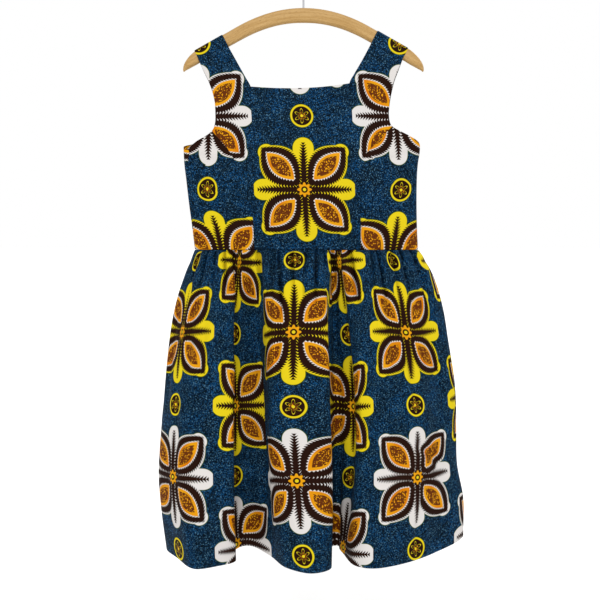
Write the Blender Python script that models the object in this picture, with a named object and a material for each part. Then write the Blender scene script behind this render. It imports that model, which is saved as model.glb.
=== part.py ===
"""A wax print sundress on a wooden hanger.

The dress is four cut pieces: a bodice front and back, each cut in one with
its two shoulder straps, and a skirt front and back gathered into the waist
seam. Every piece is a thin wall worked out from sections of the garment.
The straps lie over the arms of a wooden hanger with a steel hook.

Frame: X to the right seen from the front, Y towards the back, Z up. The
origin is the top inside of the hook, where a rail carries the hanger.
The tables are in millimetres and the model is in metres.
"""

import math
from collections import namedtuple

import bmesh
import bpy
from mathutils import Vector

MM = 0.001
FRONT, BACK = -1, 1  # the sign of Y on each side of the dress
STEP = 1e-3  # in a surface's own measures, for its slopes

# Cloth
WALL = 1.4
SEAM_GAP = 0.3
WAIST_Z = -530.0

# Hanger
ARM_THICKNESS = 14.0
ARM_RADIUS = ARM_THICKNESS / 2
CROWN_Z = -91.0  # the arms' rounded-top axis at the middle of the hanger
CROWN_END_X = 120.0  # from the middle to here the arms curve, beyond it they are straight
ARM_SLOPE = 0.559
STRAP_RADIUS = ARM_RADIUS + SEAM_GAP + WALL / 2  # the cloth's bend over an arm
HOOK_WIRE = 3.8
HOOK_RADIUS = 21.0  # of the wire's centre line
STEM_DEPTH = 18.0  # of the hook's stem inside the wood
STEM_PLAY = 0.3

# The bodice from the waist up, a row for each section. left and right are
# the outline up to the underarm and the armhole's edge above it; inner_left
# and inner_right run up to the neckline's corners and the straps' inner
# edges. depth is how far the cloth stands from the plane of the hanger, and
# roundness is 1 where the section is an ellipse and 0 where it is flat.
Section = namedtuple(
    "Section",
    "name left_x left_z right_x right_z inner_left_x inner_left_z"
    " inner_right_x inner_right_z front_depth back_depth roundness",
)
BODICE = [
    Section(*row)
    for row in (
        ("waist", -204, -530, 216, -530, -92, -530, 106, -530, 36, 34, 1.0),
        ("midriff", -208.5, -486, 213.5, -486, -95, -486, 106, -486, 37, 34, 1.0),
        ("rib", -214, -441, 212, -441, -100, -441, 105, -441, 38, 33, 1.0),
        ("bust", -218.5, -400, 212, -400, -103, -400, 104, -400, 38, 32, 1.0),
        ("above bust", -222, -372, 213.5, -372, -103, -370, 102, -370, 36, 31, 1.0),
        ("underarm", -223.5, -345, 217.5, -340, -102, -340, 100, -338, 34, 30, 1.0),
        ("armhole foot", -201, -331, 198, -320, -101, -318, 98, -315, 32, 29, 1.0),
        ("armhole curve", -182, -320, 176, -309, -100, -301, 95, -298, 30, 28, 1.0),
        ("lower armhole", -168.5, -309, 162, -299, -99, -286, 93, -282, 28, 27, 1.0),
        ("armhole", -163.5, -295, 158, -281, -98.5, -268, 90, -263, 26, 26, 1.0),
        ("upper armhole", -163, -276, 158.5, -264, -98, -249, 87, -244, 24.5, 24.5, 1.0),
        ("neckline", -164.5, -255, 160.5, -247, -97.5, -229.5, 84.5, -224, 23, 23, 1.0),
        ("strap foot", -170, -233, 165, -226, -107, -212, 93, -207, 20.5, 20.5, 0.8),
        ("lower strap", -176.5, -216, 170, -210, -117, -194, 103, -190, 17.5, 17.5, 0.6),
        ("strap", -184.5, -200, 177, -193, -127, -176, 113, -172, 14.5, 14.5, 0.4),
        ("upper strap", -191.5, -185, 183.5, -177, -137, -158, 123.5, -152, 11, 11, 0.2),
    )
]
UNDERARM = 5  # row numbers
NECKLINE = 11
STRAP_ENDS = {"left": (-198.5, -146.5), "right": (190.5, 133.5)}  # on an arm: outer, inner x
BODICE_COLUMNS = (9, 12, 9)  # across the left strap, the neck and the right strap
BEND_STEPS = 4  # sections of a strap's bend over its arm
WAIST_SEAM_TURN, UNDERARM_SEAM_TURN = 2.0, 17.0  # degrees, left side seam towards the front
NECK_SCOOP = 6.0
BACK_NECK_DROP = 14.0
BACK_STRAP_OUT = {"left": 1.5, "right": 3.0}  # the back's edges past the front's
BACK_STRAP_IN = 4.0  # and behind them at the neck

# The bust that the two darts on each side shape into the front
BUST_POINTS = ((-104, -400), (104, -398))
BUST_LIFT = 8.0
BUST_RADIUS = 62.0

# The skirt's outline, a row for each section, by its drop below the waist
Outline = namedtuple("Outline", "drop left_x right_x front_depth back_depth")
OUTLINE = [
    Outline(*row)
    for row in (
        (0, -204, 216, 36, 34),
        (11, -208, 224.5, 44, 40),
        (23, -212, 230, 50, 45),
        (35, -217, 237, 54, 48),
        (57, -224.5, 246.5, 58, 51),
        (80, -232.5, 254.5, 61, 53),
        (125, -244, 266, 64, 55),
        (171, -252.5, 273.5, 65, 56),
        (263, -265, 287.5, 65, 57),
        (356, -273.5, 293, 64, 57),
        (425, -277, 296, 63, 57),
        (496, -272, 310, 62, 57),
        (574, -263, 312, 62, 57),
    )
]

# The skirt's main folds, once round from the left side seam along the front
# to the right side seam and back along the back, with their places at the
# waist, between it and the hem, and at the hem.
Fold = namedtuple("Fold", "name waist_x mid_x mid_y hem_x hem_y hem_z")
FRONT_FOLDS = [
    Fold(*row)
    for row in (
        ("left side seam", -204, -271.3, 0, -263, 0, -1106),
        ("left lobe flank", -194, -247, -42, -237, -50, -1106),
        ("left lobe crest", -174, -205, -78, -196, -108, -1107),
        ("left lobe face", -150, -158, -88, -154, -95, -1106),
        ("left lobe edge", -131, -125, -80, -126, -70, -1105),
        ("left fold", -123, -134, -50, -136, -44, -1101),
        ("left valley", -111, -112, -33, -110, -9, -1098),
        ("centre lobe flank", -84, -75, -32, -68, -42, -1102),
        ("centre lobe shoulder", -48, -56, -82, -30, -102, -1107),
        ("centre lobe crest", -6, -4, -94, 12, -126, -1109),
        ("centre lobe edge", 30, 50, -82, 50, -100, -1108),
        ("centre fold", 42, 45, -54, 42, -56, -1102),
        ("centre valley", 52, 64, -30, 60, -10, -1098),
        ("right lobe turn", 66, 97, -42, 76, -42, -1101),
        ("right lobe edge", 84, 98, -78, 92, -92, -1106),
        ("right lobe crest", 110, 126, -90, 124, -108, -1106),
        ("right lobe face", 144, 184, -78, 184, -82, -1106),
        ("right lobe flank", 182, 246, -38, 250, -36, -1101),
        ("right side seam", 216, 291.6, 6, 312, 20, -1086),
    )
]
BACK_FOLDS = [
    Fold(*row)
    for row in (
        ("right side seam", 216, 291.6, 6, 312, 20, -1086),
        ("back right flank", 194, 256, 48, 272, 66, -1093),
        ("back right crest", 162, 204, 76, 210, 90, -1098),
        ("back right face", 130, 154, 68, 158, 74, -1100),
        ("back right valley", 100, 108, 38, 112, 32, -1097),
        ("back centre flank", 66, 70, 50, 70, 50, -1100),
        ("back centre crest", 24, 20, 78, 18, 94, -1103),
        ("back centre face", -16, -28, 74, -32, 84, -1103),
        ("back centre edge", -48, -58, 52, -60, 54, -1101),
        ("back left valley", -76, -86, 36, -86, 28, -1098),
        ("back left flank", -106, -120, 54, -122, 54, -1101),
        ("back left crest", -144, -168, 78, -170, 88, -1105),
        ("back left face", -182, -228, 52, -230, 56, -1106),
        ("left side seam", -204, -271.3, 0, -263, 0, -1106),
    )
]
MID_SHARE = 0.57  # of the way down, where the folds have their mid_x and mid_y
FOLD_GROWTH = 0.7  # of the way down to there, the power that a fold's depth grows with
UPRIGHTNESS = 4  # the power by which folds nearer the sides follow the outline

# Gathers below the waist seam
GATHERS = {FRONT: 20, BACK: 18}
COLUMNS_PER_GATHER = 5
SKIRT_DROPS = (8, 18, 31, 50, 78, 115, 170, 240, 315, 390, 460, 525)  # between waist and hem
Gather = namedtuple("Gather", "drop depth")
GATHER_DEPTH = [Gather(*row) for row in ((0, 0.8), (12, 4.2), (35, 4.6), (80, 2.6), (170, 0))]
GATHER_UNEVENNESS = 0.35
GATHER_BEAT = 2.4  # radians from one gather to the next, in the wave of their unevenness
GATHER_DRIFT = 0.9  # of a gather, by which they stand closer or wider along the seam

# The top and the lower edge of an arm beyond its straight part, which ends in a drooping fin
Tip = namedtuple("Tip", "top_x top_z low_x low_z")
TIPS = [
    Tip(*row)
    for row in (
        (209.4, -169.6, 197.6, -186.8),
        (215.2, -176.2, 204.6, -190.5),
        (219.8, -183.1, 210.8, -193.8),
        (222.6, -189.8, 216.0, -196.6),
        (223.4, -195.4, 220.0, -198.8),
    )
]
ARM_STATIONS = (0, 20, 40, 60, 80, 100, 120, 145, 170, 195)
ARM_HEIGHT_MIDDLE, ARM_HEIGHT_END = 27.0, 23.0
ARM_SIDES = 16
BORE_SIDES = 16

# The hook's wire from its stem to the start of its circle, then the circle's turn in degrees
HOOK_BEND = ((0.0, -62.0), (0.0, -56.0), (0.9, -50.5), (4.2, -45.3), (9.2, -41.0))
HOOK_TURN = (-52.0, 212.0)
HOOK_STEPS = 26
WIRE_ROUNDNESS = 3  # edges in a quarter of the wire's section, less one

SHARP_DEGREES = 50  # an edge that turns more than this stays crisp

COLOURS = {
    "wax_print": ((0.035, 0.11, 0.20), 0.75, 0.0),
    "wood": ((0.60, 0.40, 0.19), 0.45, 0.0),
    "steel": ((0.62, 0.62, 0.64), 0.25, 1.0),
}


# ---------------------------------------------------------------- splines


def hermite(knots, rows, at, closed=False):
    """Rows of numbers at their knots, joined by a smooth curve and read at one place."""
    span = knots[-1] - knots[0]
    last = len(knots) - 1
    if closed:
        at = knots[0] + (at - knots[0]) % span
    i = 0
    while i < last - 1 and at > knots[i + 1]:
        i += 1

    def knot(k):
        if not closed:
            return knots[min(max(k, 0), last)]
        turns, k = divmod(k, last)
        return knots[k] + turns * span

    def row(k):
        return rows[k % last] if closed else rows[min(max(k, 0), last)]

    k0, k1, k2, k3 = knot(i - 1), knot(i), knot(i + 1), knot(i + 2)
    width = k2 - k1
    t = (at - k1) / width
    h1 = (1 + 2 * t) * (1 - t) ** 2
    h2 = t * t * (3 - 2 * t)
    g1 = t * (1 - t) ** 2 * width
    g2 = t * t * (t - 1) * width
    found = []
    for a, b, c, d in zip(row(i - 1), row(i), row(i + 1), row(i + 2)):
        rise = (c - b) / width
        before = (b - a) / (k1 - k0) if k1 > k0 else rise
        after = (d - c) / (k3 - k2) if k3 > k2 else rise
        found.append(h1 * b + h2 * c + g1 * (before + rise) / 2 + g2 * (rise + after) / 2)
    return found


def mix(a, b, share):
    return a + (b - a) * share


# ------------------------------------------------------------------ hanger


def arm_axis(x):
    """The height of the arms' axis and the angle that it falls at, at a distance x from the middle."""
    if x <= CROWN_END_X:
        curve = ARM_SLOPE / (2 * CROWN_END_X)
        return CROWN_Z - curve * x * x, math.atan(2 * curve * x)
    end_z = CROWN_Z - ARM_SLOPE * CROWN_END_X / 2
    return end_z - ARM_SLOPE * (x - CROWN_END_X), math.atan(ARM_SLOPE)


def arm_ring(tip, side):
    """A rounded upright section of an arm between its top and its lower edge."""
    top, low = Vector((tip.top_x, 0, tip.top_z)), Vector((tip.low_x, 0, tip.low_z))
    height = (top - low).length
    radius = min(ARM_RADIUS, height / 2)
    ring = []
    for k in range(ARM_SIDES):
        turn = 2 * math.pi * (k + 0.5) / ARM_SIDES
        up = radius * math.sin(turn) - radius
        if math.sin(turn) < 0:
            up -= height - 2 * radius
        point = top + (top - low) / height * up
        ring.append(Vector((side * point.x, radius * math.cos(turn), point.z)))
    return ring


def make_arms():
    stations = []
    for x in ARM_STATIONS:
        z, angle = arm_axis(x)
        height = mix(ARM_HEIGHT_MIDDLE, ARM_HEIGHT_END, x / ARM_STATIONS[-1])
        out, up = math.sin(angle), math.cos(angle)
        top_x, top_z = x + out * ARM_RADIUS, z + up * ARM_RADIUS
        stations.append(Tip(top_x, top_z, top_x - out * height, top_z - up * height))
    stations += TIPS
    rings = [arm_ring(station, -1) for station in reversed(stations[1:])]
    rings += [arm_ring(station, 1) for station in stations]
    bm = bmesh.new()
    loops = [[bm.verts.new(point * MM) for point in ring] for ring in rings]
    for a, b in zip(loops, loops[1:]):
        for k in range(ARM_SIDES):
            n = (k + 1) % ARM_SIDES
            bm.faces.new((a[k], a[n], b[n], b[k]))
    bm.faces.new(loops[0])
    bm.faces.new(loops[-1])
    arms = finished("hanger_arms", bm, "wood")

    bore_radius = HOOK_WIRE / 2 + STEM_PLAY
    top_z = CROWN_Z + ARM_RADIUS
    reach = STEM_DEPTH + STEM_PLAY
    bpy.ops.mesh.primitive_cylinder_add(
        vertices=BORE_SIDES,
        radius=bore_radius * MM,
        depth=2 * reach * MM,
        location=(0, 0, top_z * MM),
    )
    cutter = bpy.context.object
    cutter.name = "stem_bore_cutter"
    cutter.hide_render = True
    cutter.display_type = "WIRE"
    bore = arms.modifiers.new("stem bore", "BOOLEAN")
    bore.operation = "DIFFERENCE"
    bore.object = cutter
    return arms


def make_hook():
    """A wire hook: a straight stem, a bend aside, and most of a circle that ends open at the left."""
    wire = HOOK_WIRE / 2
    centre_z = wire - HOOK_RADIUS
    stem_foot = CROWN_Z + ARM_RADIUS - STEM_DEPTH
    points = [(0.0, stem_foot), *HOOK_BEND]
    for k in range(HOOK_STEPS + 1):
        turn = math.radians(mix(*HOOK_TURN, k / HOOK_STEPS))
        points.append((HOOK_RADIUS * math.cos(turn), centre_z + HOOK_RADIUS * math.sin(turn)))
    curve = bpy.data.curves.new("hanger_hook", "CURVE")
    curve.dimensions = "3D"
    curve.bevel_depth = wire * MM
    curve.bevel_resolution = WIRE_ROUNDNESS
    curve.use_fill_caps = True
    spline = curve.splines.new("POLY")
    spline.points.add(len(points) - 1)
    for point, (x, z) in zip(spline.points, points):
        point.co = (x * MM, 0, z * MM, 1)
    hook = bpy.data.objects.new("hanger_hook", curve)
    bpy.context.collection.objects.link(hook)
    curve.materials.append(material("steel"))
    return hook


# ------------------------------------------------------------------ bodice


def edge_turn(x, centre, half):
    """The angle round the section at which a point at x lies, 0 at the right side and pi at the left."""
    return math.acos(max(-1.0, min(1.0, (x - centre) / half)))


def bodice_rows(side):
    """Each section of one side as numbers that a spline can read: for its four lines the angle and
    the height, then the section's centre, half width, depths and roundness."""
    rows = []
    for i, s in enumerate(BODICE):
        tube = BODICE[min(i, UNDERARM)]
        centre = (tube.left_x + tube.right_x) / 2
        half = (tube.right_x - tube.left_x) / 2
        share = i / UNDERARM
        if i <= UNDERARM:
            turn = math.radians(mix(WAIST_SEAM_TURN, UNDERARM_SEAM_TURN, share))
            left, right = math.pi + side * turn, 0.0
        else:
            out = (i - UNDERARM) / (len(BODICE) - UNDERARM)
            out = 4 * out * (1 - out) if side == BACK else 0.0
            left = edge_turn(s.left_x - BACK_STRAP_OUT["left"] * out, centre, half)
            right = edge_turn(s.right_x + BACK_STRAP_OUT["right"] * out, centre, half)
        inner = BACK_STRAP_IN if side == BACK and i > UNDERARM and i < len(BODICE) - 1 else 0.0
        lower = 0.0
        if side == BACK and i > UNDERARM:
            lower = BACK_NECK_DROP * max(0.0, 1 - abs(i - NECKLINE) / (NECKLINE - UNDERARM))
        inner_left = edge_turn(s.inner_left_x - inner, centre, half)
        inner_right = edge_turn(s.inner_right_x + inner, centre, half)
        lines = (left, s.left_z, inner_left, s.inner_left_z - lower)
        lines += (inner_right, s.inner_right_z - lower, right, s.right_z)
        rows.append(lines + (centre, half, s.front_depth, s.back_depth, s.roundness))
    return rows


def bust_lift(x, z):
    lift = 0.0
    for bust_x, bust_z in BUST_POINTS:
        away = math.hypot(x - bust_x, z - bust_z) / BUST_RADIUS
        lift += BUST_LIFT * math.exp(-away * away)
    return lift


def line_group(u):
    """Which lines of a section u lies between, and how far across."""
    group = min(max(int(math.floor(u)), 0), 2)
    return group, u - group


def turn_at(rows, u, v):
    """The angle round the section at which u lies."""
    values = hermite(range(len(rows)), rows, v)
    group, f = line_group(u)
    return mix(values[2 * group], values[2 * group + 2], f)


def bodice_point(rows, side, u, v, turn=None):
    """A point of a bodice panel. v counts the sections up from the waist; u is 0 to 1 from the
    left edge to the inner left line, 1 to 2 between the inner lines and 2 to 3 to the right edge.
    turn, if given, is the angle round the section in place of that of u."""
    values = hermite(range(len(rows)), rows, v)
    centre, half, front_depth, back_depth, roundness = values[8:]
    group, f = line_group(u)
    if turn is None:
        turn = turn_at(rows, u, v)
    z = mix(values[2 * group + 1], values[2 * group + 3], f)
    if group == 1:
        rise = min(max((v - UNDERARM) / (NECKLINE - UNDERARM), 0.0), 1.0)
        z -= NECK_SCOOP * rise * 4 * f * (1 - f)
    sine = math.sin(turn)
    out = math.copysign(abs(sine) ** roundness, sine)
    depth = front_depth if side * out < 0 else back_depth
    x = centre + half * math.cos(turn)
    y = side * depth * out
    if side == FRONT:
        y -= bust_lift(x, z) * max(sine, 0.0)
    return Vector((x, y, z))


def strap_point(rows, side, u, v):
    """A point of a strap, from the last section of the bodice to the arm's flank and then, beyond
    v = len(rows), round its bend to the shoulder seam on top of the arm."""
    end = len(rows)
    hand = "left" if u <= 1 else "right"
    outer, inner = STRAP_ENDS[hand]
    across = u if hand == "left" else 3 - u
    sign = -1 if hand == "left" else 1
    x = mix(outer, inner, across)
    z, angle = arm_axis(abs(x))
    normal = Vector((sign * math.sin(angle), 0, math.cos(angle)))
    turn = max(v - end, 0.0) * math.pi / 2
    axis = Vector((x, 0, z))
    bend = axis + normal * STRAP_RADIUS * math.sin(turn)
    bend.y = side * STRAP_RADIUS * math.cos(turn)
    if v >= end:
        return bend
    return bodice_point(rows, side, u, end - 1).lerp(bend, v - end + 1)


def bodice_surface(side):
    """A bodice panel's surface, and the directions along and up it at a place."""
    rows = bodice_rows(side)
    last = len(rows) - 1

    def at(u, v):
        if v > last:
            return strap_point(rows, side, u, v)
        return bodice_point(rows, side, u, v)

    def directions(u, v):
        along = at(u + STEP, v) - at(u - STEP, v)
        if v > last - 1:
            return along, at(u, v + STEP) - at(u, v - STEP)
        turn = turn_at(rows, u, v)
        above = bodice_point(rows, side, u, v + STEP, turn)
        return along, above - bodice_point(rows, side, u, v - STEP, turn)

    return at, directions


def make_bodice(name, side):
    surface, directions = bodice_surface(side)
    first, middle, last = BODICE_COLUMNS
    us = [k / first for k in range(first)]
    us += [1 + k / middle for k in range(middle)]
    us += [2 + k / last for k in range(last + 1)]
    us[0] += trim(surface, us[0], 0.0, 1, 0)
    us[-1] -= trim(surface, us[-1], 0.0, 1, 0)
    end = len(BODICE)
    bend = (SEAM_GAP / 2) / (STRAP_RADIUS * math.pi / 2)
    vs = [trim(surface, 1.5, 0.0, 0, 1)] + list(range(1, end))
    vs += [end + k / BEND_STEPS for k in range(BEND_STEPS)] + [end + 1 - bend]

    def flat(normal, row):
        if row == 0:
            return Vector((normal.x, normal.y, 0))
        return normal

    def there(row, column):
        return row < NECKLINE or column < first or column >= first + middle

    return make_wall(name, surface, directions, us, vs, flat, there)


# ------------------------------------------------------------------- skirt


def outline_at(drop):
    return hermite([row.drop for row in OUTLINE], [row[1:] for row in OUTLINE], drop)


def rounded(c):
    """How far out a section stands at c, -1 at its left side and 1 at its right."""
    return math.sqrt(max(0.0, 1 - c * c))


def fold_rows():
    """The folds once round the skirt, with the length of hem from the left side seam to each."""
    folds = FRONT_FOLDS + BACK_FOLDS[1:]
    lengths = [0.0]
    for a, b in zip(folds, folds[1:]):
        lengths.append(lengths[-1] + math.hypot(b.hem_x - a.hem_x, b.hem_y - a.hem_y))
    return folds, lengths


def normalised(x, left, right):
    """A place across a section, -1 at its left side and 1 at its right."""
    return (2 * x - left - right) / (right - left)


def skirt_section(folds, share):
    """Where each fold crosses one section, as (x, y, z)."""
    whole = OUTLINE[-1].drop
    levels = (0.0, MID_SHARE, 1.0)
    outlines = [outline_at(level * whole) for level in levels]
    left, right, front_depth, back_depth = outline_at(share * whole)
    share = min(max(share, 0.0), 1.0)
    grown = math.sin(math.pi / 2 * min(share / MID_SHARE, 1.0) ** FOLD_GROWTH)
    past = max(share - MID_SHARE, 0.0) / (1 - MID_SHARE)
    past = past * past * (3 - 2 * past)
    rows = []
    for i, fold in enumerate(folds):
        side = FRONT if i < len(FRONT_FOLDS) else BACK
        depth_at = 2 if side == FRONT else 3
        xs = (fold.waist_x, fold.mid_x, fold.hem_x)
        places = [normalised(x, *outline[:2]) for x, outline in zip(xs, outlines)]
        upright, c = hermite(levels, list(zip(xs, places)), share)
        x = mix(upright, (left + right) / 2 + c * (right - left) / 2, abs(c) ** UPRIGHTNESS)
        own_mid, own_hem = (
            y - side * outline[depth_at] * rounded(place)
            for y, outline, place in zip((fold.mid_y, fold.hem_y), outlines[1:], places[1:])
        )
        depth = front_depth if side == FRONT else back_depth
        own = own_mid * grown + (own_hem - own_mid) * past
        y = side * depth * rounded(normalised(x, left, right)) + own
        z = mix(WAIST_Z, fold.hem_z, share)
        rows.append((x, y, z))
    return rows


def gather_depth(drop):
    rows = [(row.depth,) for row in GATHER_DEPTH]
    if drop >= GATHER_DEPTH[-1].drop:
        return 0.0
    return hermite([row.drop for row in GATHER_DEPTH], rows, max(drop, 0.0))[0]


def skirt_surface(side):
    """A skirt panel's surface: u is 0 to 1 across it and v is 0 to 1 down it."""
    folds, lengths = fold_rows()
    sections = {}
    seam = lengths[len(FRONT_FOLDS) - 1]
    start, end = (0.0, seam) if side == FRONT else (seam, lengths[-1])
    whole = OUTLINE[-1].drop
    waist_left, waist_right = OUTLINE[0][1:3]
    first = 0 if side == FRONT else len(FRONT_FOLDS) - 1
    last = len(FRONT_FOLDS) - 1 if side == FRONT else len(folds) - 1
    waist_run = [abs(folds[i].waist_x - folds[first].waist_x) for i in range(first, last + 1)]
    evened = [
        mix((lengths[first + i] - start) / (end - start), run / (waist_right - waist_left), 0.5)
        for i, run in enumerate(waist_run)
    ]

    def length_at(u):
        """Columns are spaced halfway between evenly at the hem and evenly at the waist."""
        i = 0
        while i < len(evened) - 2 and u > evened[i + 1]:
            i += 1
        f = (u - evened[i]) / (evened[i + 1] - evened[i])
        return mix(lengths[first + i], lengths[first + i + 1], f)

    def smooth(u, v):
        """The skirt's main folds, without its gathers."""
        if v not in sections:
            sections[v] = skirt_section(folds, v)
        return Vector(hermite(lengths, sections[v], length_at(u), closed=True))

    def at(u, v):
        point = smooth(u, v)
        along = smooth(u + STEP, v) - smooth(u - STEP, v)
        outward = Vector((along.y, -along.x, 0)).normalized()
        turns = u * GATHERS[side]
        turns += GATHER_DRIFT * math.sin(math.pi * u) * math.sin(5 * math.pi * u + side)
        uneven = 1 + GATHER_UNEVENNESS * math.sin(GATHER_BEAT * turns + side)
        from_seam = min(max(min(turns, GATHERS[side] - turns), 0.0), 1.0)
        fade = from_seam * from_seam * (3 - 2 * from_seam)
        wave = -math.cos(2 * math.pi * turns) * fade
        return point + outward * gather_depth(v * whole) * uneven * wave

    def directions(u, v):
        return at(u, v + STEP) - at(u, v - STEP), at(u + STEP, v) - at(u - STEP, v)

    return at, directions


def make_skirt(name, side):
    surface, directions = skirt_surface(side)
    columns = GATHERS[side] * COLUMNS_PER_GATHER
    us = [k / columns for k in range(columns + 1)]
    us[0] += trim(surface, 0.0, 0.5, 1, 0)
    us[-1] -= trim(surface, 1.0, 0.5, 1, 0)
    whole = OUTLINE[-1].drop
    vs = [SEAM_GAP / 2 / whole] + [drop / whole for drop in SKIRT_DROPS] + [1.0]

    def flat(normal, row):
        if row in (0, len(vs) - 1):
            return Vector((normal.x, normal.y, 0))
        return normal

    return make_wall(name, surface, directions, us, vs, flat, lambda row, column: True)


# -------------------------------------------------------------------- walls


def trim(surface, u, v, du, dv):
    """The step in u or v that is half a seam's gap."""
    moved = surface(u + du * STEP, v + dv * STEP) - surface(u, v)
    return SEAM_GAP / 2 * STEP / moved.length


def make_wall(name, surface, directions, us, vs, flat, there):
    """A closed wall on a surface read at the places us by vs: its points are moved half the
    wall's thickness each way, square to the surface's directions there. flat levels the normals
    of a row that meets another piece, and there says which cells are cloth."""
    bm = bmesh.new()
    outer, inner = {}, {}
    for row, v in enumerate(vs):
        for column, u in enumerate(us):
            near = [(row - a, column - b) for a in (0, 1) for b in (0, 1)]
            inside = [c for c in near if 0 <= c[0] < len(vs) - 1 and 0 <= c[1] < len(us) - 1]
            if not any(there(*cell) for cell in inside):
                continue
            point = surface(u, v)
            along, up = directions(u, v)
            normal = flat(along.cross(up).normalized(), row).normalized()
            outer[row, column] = bm.verts.new((point + normal * WALL / 2) * MM)
            inner[row, column] = bm.verts.new((point - normal * WALL / 2) * MM)
    edges = {}
    for row in range(len(vs) - 1):
        for column in range(len(us) - 1):
            if not there(row, column):
                continue
            ring = ((row, column), (row, column + 1), (row + 1, column + 1), (row + 1, column))
            bm.faces.new([outer[key] for key in ring])
            bm.faces.new([inner[key] for key in reversed(ring)])
            for a, b in zip(ring, ring[1:] + ring[:1]):
                if (b, a) in edges:
                    del edges[b, a]
                else:
                    edges[a, b] = True
    for a, b in edges:
        bm.faces.new((outer[b], outer[a], inner[a], inner[b]))
    return finished(name, bm, "wax_print")


def material(name):
    found = bpy.data.materials.get(name)
    if found:
        return found
    colour, roughness, metallic = COLOURS[name]
    found = bpy.data.materials.new(name)
    found.use_nodes = True
    shader = found.node_tree.nodes["Principled BSDF"]
    shader.inputs["Base Color"].default_value = (*colour, 1)
    shader.inputs["Roughness"].default_value = roughness
    shader.inputs["Metallic"].default_value = metallic
    return found


def finished(name, bm, finish):
    bmesh.ops.recalc_face_normals(bm, faces=bm.faces)
    mesh = bpy.data.meshes.new(name)
    bm.to_mesh(mesh)
    bm.free()
    mesh.shade_smooth()
    mesh.set_sharp_from_angle(angle=math.radians(SHARP_DEGREES))
    mesh.materials.append(material(finish))
    made = bpy.data.objects.new(name, mesh)
    bpy.context.collection.objects.link(made)
    return made


def main():
    for old in list(bpy.data.objects):
        bpy.data.objects.remove(old)
    make_arms()
    make_hook()
    make_bodice("bodice_front", FRONT)
    make_bodice("bodice_back", BACK)
    make_skirt("skirt_front", FRONT)
    make_skirt("skirt_back", BACK)


main()
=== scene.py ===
"""Looks for the wax print dress on its wooden hanger.

Each cloth panel is a thin shell on the form of its CAD wall, with gathers, creases, rolled edges
and seams that the wall leaves out. The print, wood and steel are node materials, drawn in
millimetres of cloth or wood. The tables are in millimetres, X to the right, Y to the back, Z up,
from the top inside of the hook, and the meshes are in metres.
"""

import math
from collections import namedtuple
from functools import partialmethod

import bmesh
import bpy
import numpy as np
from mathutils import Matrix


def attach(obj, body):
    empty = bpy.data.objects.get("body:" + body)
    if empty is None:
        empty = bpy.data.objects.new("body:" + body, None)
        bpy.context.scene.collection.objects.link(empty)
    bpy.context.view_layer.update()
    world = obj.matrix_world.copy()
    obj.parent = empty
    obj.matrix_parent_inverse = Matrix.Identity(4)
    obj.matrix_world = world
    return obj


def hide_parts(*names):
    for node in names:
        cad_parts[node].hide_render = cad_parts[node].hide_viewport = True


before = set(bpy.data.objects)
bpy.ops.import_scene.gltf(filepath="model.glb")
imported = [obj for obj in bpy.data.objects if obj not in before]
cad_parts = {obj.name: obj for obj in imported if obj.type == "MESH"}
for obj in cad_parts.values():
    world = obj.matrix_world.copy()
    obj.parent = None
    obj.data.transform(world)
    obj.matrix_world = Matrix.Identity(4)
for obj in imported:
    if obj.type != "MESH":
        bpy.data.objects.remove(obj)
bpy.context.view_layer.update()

MM = 0.001
FRONT, BACK = -1, 1  # the sign of Y on each side of the dress


def table(kind, *rows):
    return [kind(*row) for row in rows]


# Cloth
CLOTH = 0.5  # thickness of the shells
WAIST_Z = -530.0

# Hanger
ARM_RADIUS = 7.0
CROWN_Z = -91.0  # the arms' rounded-top axis at the middle of the hanger
CROWN_END_X = 120.0  # from the middle to here the arms curve, beyond it they are straight
ARM_SLOPE = 0.559
STRAP_RADIUS = 8.0  # the cloth's bend over an arm
HOOK_WIRE = 3.8
HOOK_RADIUS = 21.0  # of the wire's centre line
STEM_DEPTH = 18.0  # of the hook's stem inside the wood

# The bodice from the waist up, a row for each section, as the CAD walls have it
Section = namedtuple(
    "Section",
    "name left_x left_z right_x right_z inner_left_x inner_left_z"
    " inner_right_x inner_right_z front_depth back_depth roundness",
)
BODICE = table(
    Section,
    ("waist", -204, -530, 216, -530, -92, -530, 106, -530, 36, 34, 1.0),
    ("midriff", -208.5, -486, 213.5, -486, -95, -486, 106, -486, 37, 34, 1.0),
    ("rib", -214, -441, 212, -441, -100, -441, 105, -441, 38, 33, 1.0),
    ("bust", -218.5, -400, 212, -400, -103, -400, 104, -400, 38, 32, 1.0),
    ("above bust", -222, -372, 213.5, -372, -103, -370, 102, -370, 36, 31, 1.0),
    ("underarm", -223.5, -345, 217.5, -340, -102, -340, 100, -338, 34, 30, 1.0),
    ("armhole foot", -201, -331, 198, -320, -101, -318, 98, -315, 32, 29, 1.0),
    ("armhole curve", -182, -320, 176, -309, -100, -301, 95, -298, 30, 28, 1.0),
    ("lower armhole", -168.5, -309, 162, -299, -99, -286, 93, -282, 28, 27, 1.0),
    ("armhole", -163.5, -295, 158, -281, -98.5, -268, 90, -263, 26, 26, 1.0),
    ("upper armhole", -163, -276, 158.5, -264, -98, -249, 87, -244, 24.5, 24.5, 1.0),
    ("neckline", -164.5, -255, 160.5, -247, -97.5, -229.5, 84.5, -224, 23, 23, 1.0),
    ("strap foot", -170, -233, 165, -226, -107, -212, 93, -207, 20.5, 20.5, 0.8),
    ("lower strap", -176.5, -216, 170, -210, -117, -194, 103, -190, 17.5, 17.5, 0.6),
    ("strap", -184.5, -200, 177, -193, -127, -176, 113, -172, 14.5, 14.5, 0.4),
    ("upper strap", -191.5, -185, 183.5, -177, -137, -158, 123.5, -152, 11, 11, 0.2),
)
SECTION_NAMES = [section.name for section in BODICE]
UNDERARM, NECKLINE = SECTION_NAMES.index("underarm"), SECTION_NAMES.index("neckline")
LAST_SECTION = len(BODICE) - 1
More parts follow.
